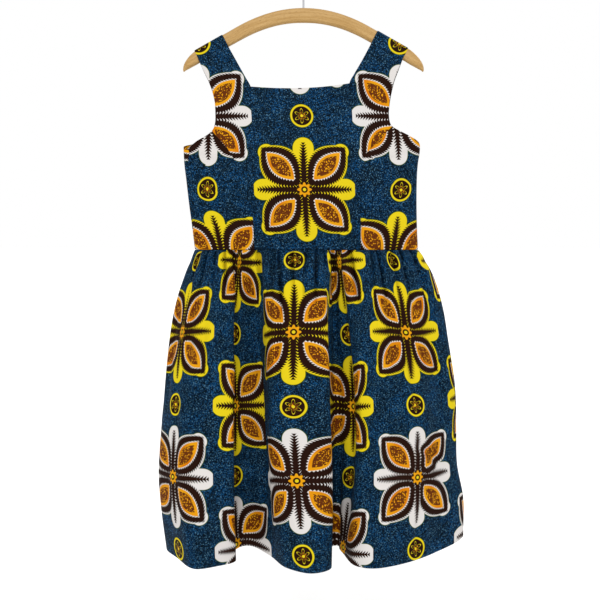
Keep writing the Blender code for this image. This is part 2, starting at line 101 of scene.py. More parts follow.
FLANK_V = LAST_SECTION + 1  # the arms' flank; the top of an arm is one more on
STRAP_ENDS = {"left": (-198.5, -146.5), "right": (190.5, 133.5)}  # on an arm: outer, inner x
WAIST_SEAM_TURN, UNDERARM_SEAM_TURN = 2.0, 17.0  # degrees, left side seam towards the front
NECK_SCOOP = 6.0  # how far the neckline dips in its middle
BACK_NECK_DROP = 14.0  # of the back's neckline below the front's
BACK_STRAP_OUT = {"left": 1.5, "right": 3.0}  # the back's edges past the front's
BACK_STRAP_IN = 4.0  # and behind them at the neck
BUST_POINTS = ((-104, -400), (104, -398))
BUST_LIFT = 8.0
BUST_RADIUS = 62.0

# The skirt's outline by its drop below the waist, and its main folds once round from the left
# side seam along the front, as the CAD walls have them
Outline = namedtuple("Outline", "drop left_x right_x front_depth back_depth")
OUTLINE = table(
    Outline,
    (0, -204, 216, 36, 34),
    (11, -208, 224.5, 44, 40),
    (23, -212, 230, 50, 45),
    (35, -217, 237, 54, 48),
    (57, -224.5, 246.5, 58, 51),
    (80, -232.5, 254.5, 61, 53),
    (125, -244, 266, 64, 55),
    (171, -252.5, 273.5, 65, 56),
    (263, -265, 287.5, 65, 57),
    (356, -273.5, 293, 64, 57),
    (425, -277, 296, 63, 57),
    (496, -272, 310, 62, 57),
    (574, -263, 312, 62, 57),
)
SKIRT_DROP = OUTLINE[-1].drop
Fold = namedtuple("Fold", "name waist_x mid_x mid_y hem_x hem_y hem_z")
FRONT_FOLDS = table(
    Fold,
    ("left side seam", -204, -271.3, 0, -263, 0, -1106),
    ("left lobe flank", -194, -247, -42, -237, -50, -1106),
    ("left lobe crest", -174, -205, -78, -196, -108, -1107),
    ("left lobe face", -150, -158, -88, -154, -95, -1106),
    ("left lobe edge", -131, -125, -80, -126, -70, -1105),
    ("left fold", -123, -134, -50, -136, -44, -1101),
    ("left valley", -111, -112, -33, -110, -9, -1098),
    ("centre lobe flank", -84, -75, -32, -68, -42, -1102),
    ("centre lobe shoulder", -48, -56, -82, -30, -102, -1107),
    ("centre lobe crest", -6, -4, -94, 12, -126, -1109),
    ("centre lobe edge", 30, 50, -82, 50, -100, -1108),
    ("centre fold", 42, 45, -54, 42, -56, -1102),
    ("centre valley", 52, 64, -30, 60, -10, -1098),
    ("right lobe turn", 66, 97, -42, 76, -42, -1101),
    ("right lobe edge", 84, 98, -78, 92, -92, -1106),
    ("right lobe crest", 110, 126, -90, 124, -108, -1106),
    ("right lobe face", 144, 184, -78, 184, -82, -1106),
    ("right lobe flank", 182, 246, -38, 250, -36, -1101),
    ("right side seam", 216, 291.6, 6, 312, 20, -1086),
)
BACK_FOLDS = table(
    Fold,
    FRONT_FOLDS[-1],
    ("back right flank", 194, 256, 48, 272, 66, -1093),
    ("back right crest", 162, 204, 76, 210, 90, -1098),
    ("back right face", 130, 154, 68, 158, 74, -1100),
    ("back right valley", 100, 108, 38, 112, 32, -1097),
    ("back centre flank", 66, 70, 50, 70, 50, -1100),
    ("back centre crest", 24, 20, 78, 18, 94, -1103),
    ("back centre face", -16, -28, 74, -32, 84, -1103),
    ("back centre edge", -48, -58, 52, -60, 54, -1101),
    ("back left valley", -76, -86, 36, -86, 28, -1098),
    ("back left flank", -106, -120, 54, -122, 54, -1101),
    ("back left crest", -144, -168, 78, -170, 88, -1105),
    ("back left face", -182, -228, 52, -230, 56, -1106),
    FRONT_FOLDS[0],
)
MID_SHARE = 0.57  # of the way down, where the folds have their mid_x and mid_y
FOLD_GROWTH = 0.7  # of the way down to there, the power that a fold's depth grows with
UPRIGHTNESS = 4  # the power by which folds nearer the sides follow the outline
GATHERS = {FRONT: 20, BACK: 18}
GATHER_DRIFT = 0.9  # of a gather, by which they stand closer or wider along the seam
GATHER_WAVES = 5  # half waves of closer and wider ones across a panel
CENTRE_LENGTH = {FRONT: 442.0, BACK: 1308.0}  # of hem, at the middle of each panel

# The gathers' tucks from left to right seen from their own side, one between each two gathers.
# A lean makes one side of a tuck steeper, and top is how far aside its upper end lies, in gathers.
Tuck = namedtuple("Tuck", "length depth lean top")
TUCKS = {
    FRONT: table(
        Tuck,
        (60, 9.3, 0.3, 0.1), (85, 12.1, -0.4, 0.1), (48, 7.0, 0.2, -0.1), (70, 10.2, 0.4, -0.3),
        (125, 17.0, -0.6, -0.6), (110, 12.5, 0.4, -0.4), (55, 7.9, -0.3, 0.1),
        (130, 9.0, 0.6, -0.5), (62, 10.7, -0.4, -0.1), (46, 7.9, 0.3, 0.2),
        (90, 13.9, -0.5, 0.25), (44, 7.4, 0.3, 0.1), (95, 11.7, 0.5, -0.2),
        (110, 17.0, -0.6, -0.4), (52, 8.5, 0.5, 0.1), (92, 15.9, -0.4, -0.2),
        (80, 14.9, 0.6, 0.3), (66, 10.2, -0.4, 0.3), (84, 10.7, 0.3, 0.1),
    ),
    BACK: table(
        Tuck,
        (64, 9.9, 0.3, 0.2), (98, 14.3, -0.5, -0.3), (52, 8.5, 0.3, 0.1), (84, 12.1, -0.4, 0.2),
        (126, 16.0, 0.6, 0.5), (58, 8.5, -0.3, 0.2), (76, 12.5, 0.4, -0.2),
        (112, 15.3, -0.5, -0.4), (50, 7.9, 0.2, 0.0), (90, 14.8, 0.5, 0.4),
        (60, 9.9, -0.4, 0.1), (132, 16.4, 0.5, -0.5), (70, 10.2, 0.3, -0.2),
        (48, 7.9, -0.4, 0.1), (102, 14.5, 0.6, 0.4), (56, 9.3, -0.3, 0.1),
        (80, 10.2, 0.4, -0.1),
    ),
}
TUCK_WIDTH = 0.14  # of a gather's, from the valley's middle; a lean widens one side of it
TUCK_SQUARENESS = 2.6  # the power that makes a tuck's floor flat and its sides steep
TUCK_HOLLOW = 0.45  # the share of a tuck's depth that rounds its whole gather off
TUCK_START = 0.35  # the share of its depth that it has at the seam
TUCK_FOOT = 7.0  # of drop, over which it opens from there
TUCK_FULL, TUCK_FADING = 0.3, 0.9  # the shares of its length at full depth, then fading out
TUCK_END = 60.0  # length of the tucks' ends at the side seams
GATHER_SWELL = 6.0  # how far the rounds between the tucks stand out
SWELL_FULL, SWELL_FADING = 20.0, 150.0  # of drop, in full and then fading out

# Creases, from one end to the other in a panel's own sizes: on the bodice x and z, on the skirt
# the length of hem from the left side seam round the front and the drop below the waist. bow is
# how far the middle stands aside, and a depth below 0 is a ridge.
Crease = namedtuple("Crease", "x0 z0 x1 z1 bow width depth")
CREASE_END = 0.3  # the share of its length over which each end fades in
CREASE_BANK = 0.45  # how high the low banks beside a crease stand
CREASE_SPREAD = 1.6  # how slowly it fades out to its sides
CREASE_FOOT = 30.0  # of drop, over which the skirt's creases start below the seam
BODICE_GAIN, SKIRT_GAIN = 1.5, 1.6  # what the depths below are multiplied by
CREASES = {
    "bodice_front": table(
        Crease,
        (-206, -352, -128, -388, 4, 7, 1.5), (-212, -392, -140, -404, -3, 8, 1.1),
        (-196, -438, -118, -412, 5, 9, 0.9), (-204, -498, -120, -470, 4, 9, 0.9),
        (-84, -420, -60, -508, 6, 9, 0.9), (-150, -450, -168, -522, 5, 8, 0.9),
        (206, -350, 130, -384, -5, 7, 1.4), (208, -400, 146, -408, 3, 8, 1.0),
        (196, -470, 128, -442, -4, 9, 1.0), (86, -424, 70, -500, -5, 9, 0.8),
        (150, -440, 172, -520, -5, 8, 0.8), (-20, -516, 24, -500, 3, 8, 0.8),
        (-60, -262, 48, -268, -5, 10, 0.8), (-120, -250, -148, -300, 5, 8, 0.9),
        (112, -246, 142, -292, -5, 8, 0.9), (-158, -182, -134, -226, -3, 7, 0.8),
        (148, -176, 122, -222, 3, 7, 0.8), (-40, -330, -18, -440, 5, 12, 0.6),
        (46, -320, 30, -420, -5, 12, 0.6),
    ),
    "bodice_back": table(
        Crease,
        (-206, -350, -120, -380, 6, 8, 1.4), (204, -346, 118, -372, -6, 8, 1.4),
        (-196, -424, -92, -404, 5, 10, 1.0), (198, -430, 96, -412, -6, 10, 1.0),
        (-170, -508, -60, -490, 6, 9, 1.0), (168, -502, 44, -516, -4, 9, 0.9),
        (-30, -296, -46, -440, 6, 12, 0.9), (40, -286, 52, -410, -5, 12, 0.8),
        (-70, -252, 64, -262, -4, 10, 0.8), (-116, -246, -146, -296, 4, 8, 0.9),
        (110, -244, 140, -288, -4, 8, 0.9), (-60, -470, 70, -456, 5, 11, 0.7),
    ),
    "skirt_front": table(
        Crease,
        (30, 60, 40, 330, 6, 9, 2.0), (66, 190, 84, 560, -8, 11, 1.8),
        (106, 34, 112, 240, 5, 8, 2.0), (150, 60, 140, 400, 6, 9, 3.0),
        (176, 128, 206, 196, 6, 6, 2.6), (206, 196, 210, 574, -4, 6, 3.0),
        (262, 70, 256, 300, 4, 8, 1.8), (296, -150, 290, 700, 6, 32, 5.0),
        (320, 120, 332, 530, -3, 11, 7.5), (276, -140, 284, 320, 5, 26, 5.5),
        (366, 250, 356, 574, 6, 9, 1.8), (416, 50, 420, 270, 3, 5, 2.8),
        (440, 320, 450, 574, -6, 12, 1.6), (470, 40, 476, 260, 4, 8, 1.6),
        (540, 30, 548, 330, 4, 8, 2.2), (596, -150, 600, 700, 4, 10, 8.0),
        (676, 60, 690, 380, 5, 7, 2.2), (726, 300, 716, 574, 5, 10, 1.6),
        (764, 40, 770, 250, -4, 8, 2.0), (806, 70, 822, 330, 6, 8, 3.2),
        (800, 352, 900, 434, -8, 9, 5.0), (812, 392, 884, 470, -6, 7, -2.9),
        (842, 420, 812, 574, 6, 10, 2.8), (880, 120, 896, 340, 5, 9, 1.8),
    ),
    "skirt_back": table(
        Crease,
        (972, 70, 988, 330, 5, 9, 2.0), (1024, 40, 1032, 250, -4, 8, 2.0),
        (1050, 260, 1040, 560, 6, 10, 1.8), (1096, 60, 1104, 380, 5, 8, 2.2),
        (1150, 30, 1158, 290, -4, 8, 2.2), (1204, 120, 1196, 520, 5, 9, 2.0),
        (1250, 40, 1256, 240, 4, 8, 2.0), (1290, 250, 1304, 574, -7, 11, 1.6),
        (1330, 50, 1336, 300, 4, 8, 1.8), (1378, 90, 1384, 460, -5, 8, 2.2),
        (1436, 40, 1444, 330, 5, 9, 2.2), (1486, 240, 1480, 574, 6, 10, 1.6),
        (1520, 50, 1528, 260, -4, 8, 2.0), (1572, 110, 1560, 420, 6, 9, 1.8),
        (1618, 60, 1612, 300, -5, 9, 1.8),
    ),
}

# The bodice's darts, from the armhole through the bust point to the waist, and how much cloth
# each takes up there
Dart = namedtuple("Dart", "x z width")
DARTS = (
    table(
        Dart,
        (-167, -313, 14), (-140, -343, 9), (-104, -402, 0), (-93, -477, 15), (-91, -530, 25),
    ),
    table(
        Dart,
        (162, -304, 14), (143, -324, 10), (114, -354, 5), (104, -402, 0), (106, -484, 16),
        (106, -530, 25),
    ),
)
DART_CREASE, DART_DEPTH = 1.3, 1.7  # half width and depth of the seam line

# Slight unevenness of the cloth: a height, and the shortest and longest of its waves
RIPPLE_WAVES = 9
RIPPLE_TURN = 0.5  # radians either way that a wave turns from level
RIPPLE_DRAWN = 0.5  # a wave's rate up the cloth, as a share of its rate across it
BODICE_RIPPLE = (0.7, 40, 130)
SKIRT_RIPPLE = (1.4, 45, 190)
RIPPLE_FOOT = 60.0  # of drop, over which the skirt's starts
BODICE_SEED, SKIRT_SEED = 3, 11

# Rolled edges and seams: how far in from the edge the cloth starts to turn, and how deep it goes
Roll = namedtuple("Roll", "width depth")
HEM_ROLL = Roll(1.6, 1.2)
EDGE_ROLL = Roll(1.8, 1.3)
SEAM_ROLL = Roll(2.0, 2.4)
SHOULDER_ROLL = Roll(1.6, 0.35)
WAIST_ROLL = Roll(1.6, 2.2)
ROLL_STEPS = (0.0, 0.08, 0.25, 0.5, 0.8, 1.2)  # shares of a roll's width
FAR = 1e3  # further than any edge or dart

# How finely the shells are divided
SHELL_GAP = 0.1  # between the shells at a seam
STRAP_UNIT = 76.0  # millimetres of cloth for 1 of u across a strap
WAIST_UNIT, NECKLINE_UNIT, BEND_UNIT = 44.0, 20.0, STRAP_RADIUS * math.pi / 2  # for 1 of v
STRAP_COLUMNS, NECK_COLUMNS = 46, 92
SIDE_ROWS, ARMHOLE_ROWS, STRAP_ROWS, BEND_ROWS = 66, 50, 40, 8
STRAP_CALM = 1.5  # sections below the arm over which the straps' creases fade out
CELLS_PER_GATHER = 16
CELL_CROWDING = 1.6  # the power by which they crowd round the tucks
UPPER_DROP, MIDDLE_DROP = 26.0, 130.0  # where the skirt's rows get wider
UPPER_ROWS, MIDDLE_ROWS, LOWER_ROWS = 14, 38, 86
SKIRT_SAMPLES = 3000  # along a panel's hem, that the cells are read from


# ---- numbers


def mix(a, b, share):
    return a + (b - a) * share


def eased(share):
    """0 to 1 with a soft start and end."""
    share = np.clip(share, 0.0, 1.0)
    return share * share * (3 - 2 * share)


def arch(share):
    """0 at both ends and 1 in the middle."""
    return 4 * share * (1 - share)


def unit(vectors):
    return vectors / np.maximum(np.linalg.norm(vectors, axis=-1, keepdims=True), 1e-12)


def spline(knots, rows, at, closed=False):
    """Rows of numbers at their knots, joined by a smooth curve and read at an array of places."""
    knots, rows, at = (np.asarray(values, float) for values in (knots, rows, at))
    wide = (...,) + (None,) * (rows.ndim - 1)
    if closed:
        at = knots[0] + np.mod(at - knots[0], knots[-1] - knots[0])
    slopes = np.diff(rows, axis=0) / np.diff(knots)[wide]
    before, after = (slopes[-1:], slopes[:1]) if closed else (slopes[:1], slopes[-1:])
    beside = np.concatenate([before, slopes, after])
    tangents = (beside[:-1] + beside[1:]) / 2
    i = np.clip(np.searchsorted(knots, at) - 1, 0, len(knots) - 2)
    width = (knots[i + 1] - knots[i])[wide]
    t = (at - knots[i])[wide] / width
    found = (1 + 2 * t) * (1 - t) ** 2 * rows[i] + t * t * (3 - 2 * t) * rows[i + 1]
    return found + width * (t * (1 - t) ** 2 * tangents[i] + t * t * (t - 1) * tangents[i + 1])


def run(points, axis):
    """The length along a grid's rows (axis 1) or columns (axis 0) up to each point."""
    steps = np.linalg.norm(np.diff(points, axis=axis), axis=-1)
    return np.insert(np.cumsum(steps, axis=axis), 0, 0.0, axis=axis)


def steps_between(start, end, count, roll_start=0.0, roll_end=0.0):
    """Places from start to end, with finer ones where an edge rolls; roll_start and roll_end are
    the rolls' widths there."""
    near_start = [start + roll_start * share for share in ROLL_STEPS] if roll_start else [start]
    near_end = [end - roll_end * share for share in reversed(ROLL_STEPS)] if roll_end else [end]
    inside = np.linspace(near_start[-1], near_end[0], count + 1)[1:-1]
    return np.concatenate([near_start, inside, near_end])


# ---- creases


def by_line(x, z, x0, z0, x1, z1):
    """Where points lie by a line from x0, z0 to x1, z1: how far along it as a share of its length
    and how far to its left, then its length and direction."""
    length = math.hypot(x1 - x0, z1 - z0)
    dx, dz = (x1 - x0) / length, (z1 - z0) / length
    t = ((x - x0) * dx + (z - z0) * dz) / length
    return t, (z - z0) * dx - (x - x0) * dz, length, (dx, dz)


def crease_relief(name, a, b):
    """How far the creases of a panel lift its cloth at places given in its own sizes."""
    lift = np.zeros(np.broadcast(a, b).shape)
    for c in CREASES[name]:
        t, aside, length, _ = by_line(a, b, c.x0, c.z0, c.x1, c.z1)
        inside = np.clip(t, 0.0, 1.0)
        away = np.hypot(aside - c.bow * arch(inside), (t - inside) * length) / c.width
        ends = eased(t / CREASE_END) * eased((1 - t) / CREASE_END)
        profile = (1 - CREASE_BANK * away * away) * np.exp(-away * away / CREASE_SPREAD)
        lift -= c.depth * ends * profile
    return lift


def ripple(seed, a, b, height, shortest, longest):
    """Slight unevenness of the cloth, the sum of a few seeded waves."""
    chance = np.random.default_rng(seed)
    total = np.zeros(np.broadcast(a, b).shape)
    for _ in range(RIPPLE_WAVES):
        turn = chance.uniform(-RIPPLE_TURN, RIPPLE_TURN)
        length = chance.uniform(shortest, longest)
        start = chance.uniform(0, 2 * math.pi)
        place = a * math.cos(turn) + b * math.sin(turn) * RIPPLE_DRAWN
        place = place * 2 * math.pi / length
        total += np.sin(place + start)
    return total * height / math.sqrt(RIPPLE_WAVES)


def rolled(away, roll):
    """How deep the cloth has turned in at a distance from its edge."""
    short = np.clip(1 - away / roll.width, 0.0, 1.0)
    return roll.depth * (1 - np.sqrt(1 - short * short))


# ---- bodice


def arm_axis(x):
    """The height of the arms' axis and its falling angle, at distances x from the middle."""
    x = np.asarray(x, float)
    curve = ARM_SLOPE / (2 * CROWN_END_X)
    inner = np.minimum(x, CROWN_END_X)
    z = CROWN_Z - curve * inner**2 - ARM_SLOPE * (x - inner)
    return z, np.arctan(2 * curve * inner)


def edge_turn(x, centre, half):
    """The angle round a section at which x lies, 0 at its right side and pi at its left."""
    return math.acos(max(-1.0, min(1.0, (x - centre) / half)))


def bodice_rows(side):
    """Each section of one side as numbers that a spline can read: for its four lines the angle and
    the height, then the section's centre, half width, depths and roundness."""
    rows = []
    for i, s in enumerate(BODICE):
        tube = BODICE[min(i, UNDERARM)]
        centre, half = (tube.left_x + tube.right_x) / 2, (tube.right_x - tube.left_x) / 2
        out = inner = lower = 0.0
        if side == BACK and i > UNDERARM:
            out = arch((i - UNDERARM) / (len(BODICE) - UNDERARM))
            inner = BACK_STRAP_IN if i < LAST_SECTION else 0.0
            lower = BACK_NECK_DROP * max(0.0, 1 - abs(i - NECKLINE) / (NECKLINE - UNDERARM))
        row = []
        for x, z in (
            (s.left_x - BACK_STRAP_OUT["left"] * out, s.left_z),
            (s.inner_left_x - inner, s.inner_left_z - lower),
            (s.inner_right_x + inner, s.inner_right_z - lower),
            (s.right_x + BACK_STRAP_OUT["right"] * out, s.right_z),
        ):
            row += [edge_turn(x, centre, half), z]
        if i <= UNDERARM:
            turn = math.radians(mix(WAIST_SEAM_TURN, UNDERARM_SEAM_TURN, i / UNDERARM))
            row[0], row[6] = math.pi + side * turn, 0.0
        rows.append([*row, centre, half, s.front_depth, s.back_depth, s.roundness])
    return rows


def bust_lift(x, z):
    lift = 0.0
    for bust_x, bust_z in BUST_POINTS:
        away = np.hypot(x - bust_x, z - bust_z) / BUST_RADIUS
        lift = lift + BUST_LIFT * np.exp(-away * away)
    return lift


def bodice_points(side, us, vs, turn=None):
    """The points of a bodice panel and the angles round its sections at which they lie, a row
    for each of vs and a column for each of us, as in the CAD: v counts the sections up from the
    waist, and u is 0 to 1 across the left strap's line, 1 to 2 across the neck and 2 to 3 across
    the right strap's line. turn, if given, holds the angles in place of those of us."""
    rows = bodice_rows(side)
    level = np.minimum(vs, LAST_SECTION)
    values = spline(range(len(rows)), rows, level)
    centre, half, front_depth, back_depth, roundness = (values[:, k, None] for k in range(8, 13))
    group = np.clip(np.floor(us).astype(int), 0, 2)
    f = us - group
    if turn is None:
        turn = mix(values[:, 2 * group], values[:, 2 * group + 2], f)
    z = mix(values[:, 2 * group + 1], values[:, 2 * group + 3], f)
    rise = np.clip((level - UNDERARM) / (NECKLINE - UNDERARM), 0.0, 1.0)[:, None]
    z = z - np.where(group == 1, NECK_SCOOP * arch(f), 0.0) * rise
    sine = np.sin(turn)
    out = np.sign(sine) * np.abs(sine) ** roundness
    depth = np.where(side * out < 0, front_depth, back_depth)
    x = centre + half * np.cos(turn)
    y = side * depth * out
    if side == FRONT:
        y = y - bust_lift(x, z) * np.maximum(sine, 0.0)
    points = np.stack([x, y, z], axis=-1)
    over = vs > LAST_SECTION
    if over.any():
        points[over] = strap_points(side, us, vs[over], points[over])
    return points, turn


def strap_points(side, us, vs, foot):
    """The points of the straps from the last section, foot, to the arm's flank, one section on,
    and then round the arm to the shoulder seam on top of it, at two sections on."""
    left = us <= 1
    outer = np.where(left, STRAP_ENDS["left"][0], STRAP_ENDS["right"][0])
    inner = np.where(left, STRAP_ENDS["left"][1], STRAP_ENDS["right"][1])
    x = mix(outer, inner, np.where(left, us, 3 - us))
    z, angle = arm_axis(np.abs(x))
    bent = np.maximum(vs - FLANK_V, 0.0)[:, None] * math.pi / 2
    bend = np.stack(
        [
            x + np.where(left, -1, 1) * np.sin(angle) * STRAP_RADIUS * np.sin(bent),
            side * STRAP_RADIUS * np.cos(bent) * np.ones_like(x),
            z + np.cos(angle) * STRAP_RADIUS * np.sin(bent),
        ],
        axis=-1,
    )
    share = np.minimum(vs - LAST_SECTION, 1.0)[:, None, None]
    return mix(foot, bend, share)


def bodice_normals(side, us, vs, turn):
    step = 1e-3
    along = bodice_points(side, us + step, vs)[0] - bodice_points(side, us - step, vs)[0]
    on_straps = vs > LAST_SECTION - 1
    above, below = (bodice_points(side, us, vs + s, turn)[0] for s in (step, -step))
    strap_above, strap_below = (bodice_points(side, us, vs + s)[0] for s in (step, -step))
    up = np.where(on_straps[:, None, None], strap_above - strap_below, above - below)
    return unit(np.cross(along, up)) * -side


def dart_fields(x, z):
    """The signed distance to the nearest dart's line, outside it above 0, how wide the dart is
    there, and the direction in which it takes up cloth."""
    nearest = np.full(x.shape, FAR)
    signed, width = np.zeros(x.shape), np.zeros(x.shape)
    aside = np.zeros((*x.shape, 2))
    for dart in DARTS:
        for a, b in zip(dart, dart[1:]):
            t, to_left, _, (dx, dz) = by_line(x, z, a.x, a.z, b.x, b.z)
            outwards = np.sign(dart[0].x) * np.sign(dz)
            inside = np.clip(t, 0, 1)
            away = np.hypot(x - mix(a.x, b.x, inside), z - mix(a.z, b.z, inside))
            closer = away < nearest
            nearest = np.where(closer, away, nearest)
            signed = np.where(closer, -away * np.sign(to_left) * outwards, signed)
            width = np.where(closer, mix(a.width, b.width, inside), width)
            aside = np.where(closer[..., None], (dz * outwards, -dx * outwards), aside)
    return signed, width, aside


def bodice_grid():
    """The places u across a bodice panel and v up it that its cells lie between."""
    gap = SHELL_GAP / 2
    edge = EDGE_ROLL.width / STRAP_UNIT
    waist, neckline = WAIST_ROLL.width / WAIST_UNIT, EDGE_ROLL.width / NECKLINE_UNIT
    top, shoulder = FLANK_V + 1 - gap / BEND_UNIT, SHOULDER_ROLL.width / BEND_UNIT
    us = [
        steps_between(gap / STRAP_UNIT, 1.0, STRAP_COLUMNS, edge, edge),
        steps_between(1.0, 2.0, NECK_COLUMNS)[1:-1],
        steps_between(2.0, 3.0 - gap / STRAP_UNIT, STRAP_COLUMNS, edge, edge),
    ]
    vs = [
        steps_between(gap / WAIST_UNIT, UNDERARM, SIDE_ROWS, waist, 0),
        steps_between(UNDERARM, NECKLINE, ARMHOLE_ROWS, 0, neckline)[1:],
        steps_between(NECKLINE, FLANK_V, STRAP_ROWS)[1:],
        steps_between(FLANK_V, top, BEND_ROWS, 0, shoulder)[1:],
    ]
    return np.concatenate(us), np.concatenate(vs)


def bodice_rolls(us, vs, across, up):
    """How deep a bodice panel has turned in at its edges and seams."""
    left, right = us <= 1.0, us >= 2.0
    first_neck, last_neck = np.flatnonzero(left)[-1], np.flatnonzero(right)[0]
    on_neck = ~(left | right)
    by_neck = (us >= 1.0) & (us <= 2.0)
    above = (vs >= NECKLINE)[:, None]
    seam = (vs <= UNDERARM)[:, None]
    from_side = np.minimum(across, across[:, -1:] - across)
    from_strap = np.where(left, across[:, first_neck, None] - across,
                          across - across[:, last_neck, None])
    from_strap = np.where(above & ~on_neck, from_strap, FAR)
    from_neck = np.where(by_neck, up[int(np.searchsorted(vs, NECKLINE))] - up, FAR)
    from_neck = np.where(from_neck < 0, FAR, from_neck)
    turned = rolled(from_side, EDGE_ROLL) * ~seam + rolled(from_side, SEAM_ROLL) * seam
    turned += rolled(np.minimum(from_strap, from_neck), EDGE_ROLL)
    return turned + rolled(up, WAIST_ROLL) + rolled(up[-1] - up, SHOULDER_ROLL)


def bodice_cloth(us, vs, points, up):
    """The cloth's own measures: across from the middle, and up from the waist."""
    x, z = points[..., 0], points[..., 2]
    from_left = run(points * (1, 1, 0), 1)
    cloth_x = from_left - from_left[:, int(np.searchsorted(us, 1.5)), None]
    last = int(np.searchsorted(vs, LAST_SECTION))
    cloth_x[last:] = cloth_x[last] + x[last:] - x[last]
    flank = int(np.searchsorted(vs, FLANK_V))
    cloth_y = z - WAIST_Z
    cloth_y[flank:] = cloth_y[flank] + up[flank:] - up[flank]
    return np.stack([cloth_x, cloth_y], axis=-1)


def make_bodice(name, side):
    us, vs = bodice_grid()
    points, turn = bodice_points(side, us, vs)
    normals = bodice_normals(side, us, vs, turn)
    x, z = points[..., 0], points[..., 2]
    across, up = run(points, 1), run(points, 0)

    on_body = eased((FLANK_V - vs) / STRAP_CALM)[:, None]
    uneven = ripple(BODICE_SEED + side, x, z, *BODICE_RIPPLE)
    lift = on_body * (BODICE_GAIN * crease_relief(name, x, z) + uneven)
    lift -= bodice_rolls(us, vs, across, up)
    beyond, width, aside = dart_fields(x, z)
    if side == FRONT:
        lift -= DART_DEPTH * np.exp(-(beyond / DART_CREASE) ** 2)
    else:
        beyond, aside = beyond * 0, aside * 0

    centre_u = (us[1:] + us[:-1]) / 2
    open_neck = (centre_u > 1.0) & (centre_u < 2.0)
    there = ~(open_neck & ((vs[1:] + vs[:-1]) / 2 > NECKLINE)[:, None])
    cloth = bodice_cloth(us, vs, points, up)
    fields = {"dart": beyond, "shift": aside * width[..., None]}
    return make_shell(name, points + normals * lift[..., None], normals, there, cloth, fields)


# ---- skirt


def fold_rows():
    """The folds once round the skirt, with the length of hem from the left side seam to each."""
    folds = FRONT_FOLDS + BACK_FOLDS[1:]
    hem = np.array([(fold.hem_x, fold.hem_y) for fold in folds], float)
    steps = np.hypot(*np.diff(hem, axis=0).T)
    return folds, np.concatenate([[0.0], np.cumsum(steps)])


def outline_at(shares):
    """Columns of the skirt's left and right x and its front and back depth."""
    drops = np.asarray(shares, float) * SKIRT_DROP
    found = spline([row.drop for row in OUTLINE], [row[1:] for row in OUTLINE], drops)
    return [found[..., k, None] for k in range(4)]


def normalised(x, left, right):
    """A place across a section, -1 at its left side and 1 at its right."""
    return (2 * x - left - right) / (right - left)


def skirt_smooth(lengths_at, vs):
    """The skirt without its gathers, a row for each of vs and a column for each length of hem."""
    folds, lengths = fold_rows()
    is_front = np.arange(len(folds)) < len(FRONT_FOLDS)
    side = np.where(is_front, FRONT, BACK)
    waist_x, mid_x, mid_y, hem_x, hem_y, hem_z = np.array([fold[1:] for fold in folds], float).T
    levels = (0.0, MID_SHARE, 1.0)
    xs = np.stack([waist_x, mid_x, hem_x])
    left, right, front_depth, back_depth = outline_at(levels)
    places = normalised(xs, left, right)
    depth = np.where(is_front, front_depth, back_depth)
    round_y = side * depth * np.sqrt(np.maximum(0, 1 - places**2))
    own_mid, own_hem = mid_y - round_y[1], hem_y - round_y[2]

    left, right, front_depth, back_depth = outline_at(vs)
    shares = np.clip(vs, 0.0, 1.0)
    upright, c = spline(levels, np.stack([xs, places], axis=1), shares).transpose(1, 0, 2)
    share = shares[:, None]
    stretched = (left + right) / 2 + c * (right - left) / 2
    x = mix(upright, stretched, np.abs(c) ** UPRIGHTNESS)
    grown = np.sin(math.pi / 2 * np.minimum(share / MID_SHARE, 1.0) ** FOLD_GROWTH)
    past = eased((share - MID_SHARE) / (1 - MID_SHARE))
    own = own_mid * grown + (own_hem - own_mid) * past
    depth = np.where(is_front, front_depth, back_depth)
    y = side * depth * np.sqrt(np.maximum(0, 1 - normalised(x, left, right) ** 2)) + own
    z = mix(WAIST_Z, hem_z, share)
    sections = np.stack([x, y, z], axis=-1)
    flat = sections.transpose(1, 0, 2).reshape(len(folds), -1)
    found = spline(lengths, flat, lengths_at, closed=True)
    return found.reshape(len(lengths_at), len(vs), 3).transpose(1, 0, 2)


def hem_lengths(side, us):
    """The length of hem at each column, spaced as in the CAD: halfway between evenly at the hem
    and evenly at the waist."""
    folds, lengths = fold_rows()
    turn = len(FRONT_FOLDS) - 1
    mine = slice(0, turn + 1) if side == FRONT else slice(turn, None)
    at_hem = lengths[mine]
    at_waist = np.array([abs(fold.waist_x - folds[mine][0].waist_x) for fold in folds[mine]])
    evened = (at_hem - at_hem[0]) / (at_hem[-1] - at_hem[0]) / 2 + at_waist / at_waist[-1] / 2
    return np.interp(us, evened, at_hem)


def gather_turns(side, us):
    """How many gathers lie between the panel's left edge and each of us."""
    waves = np.sin(GATHER_WAVES * math.pi * us + side)
    drift = GATHER_DRIFT * np.sin(math.pi * us) * waves
    return us * GATHERS[side] + drift


def gather_columns(side):
    """The columns of a skirt panel as shares across it, closer together round the tucks."""
    count = GATHERS[side]
    even = np.arange(count * CELLS_PER_GATHER + 1) / CELLS_PER_GATHER
    nearest = np.round(even)
    aside = 2 * (even - nearest)
    crowded = nearest + np.sign(aside) * np.abs(aside) ** CELL_CROWDING / 2
    us = np.linspace(0, 1, SKIRT_SAMPLES)
    return np.interp(crowded, gather_turns(side, us), us)


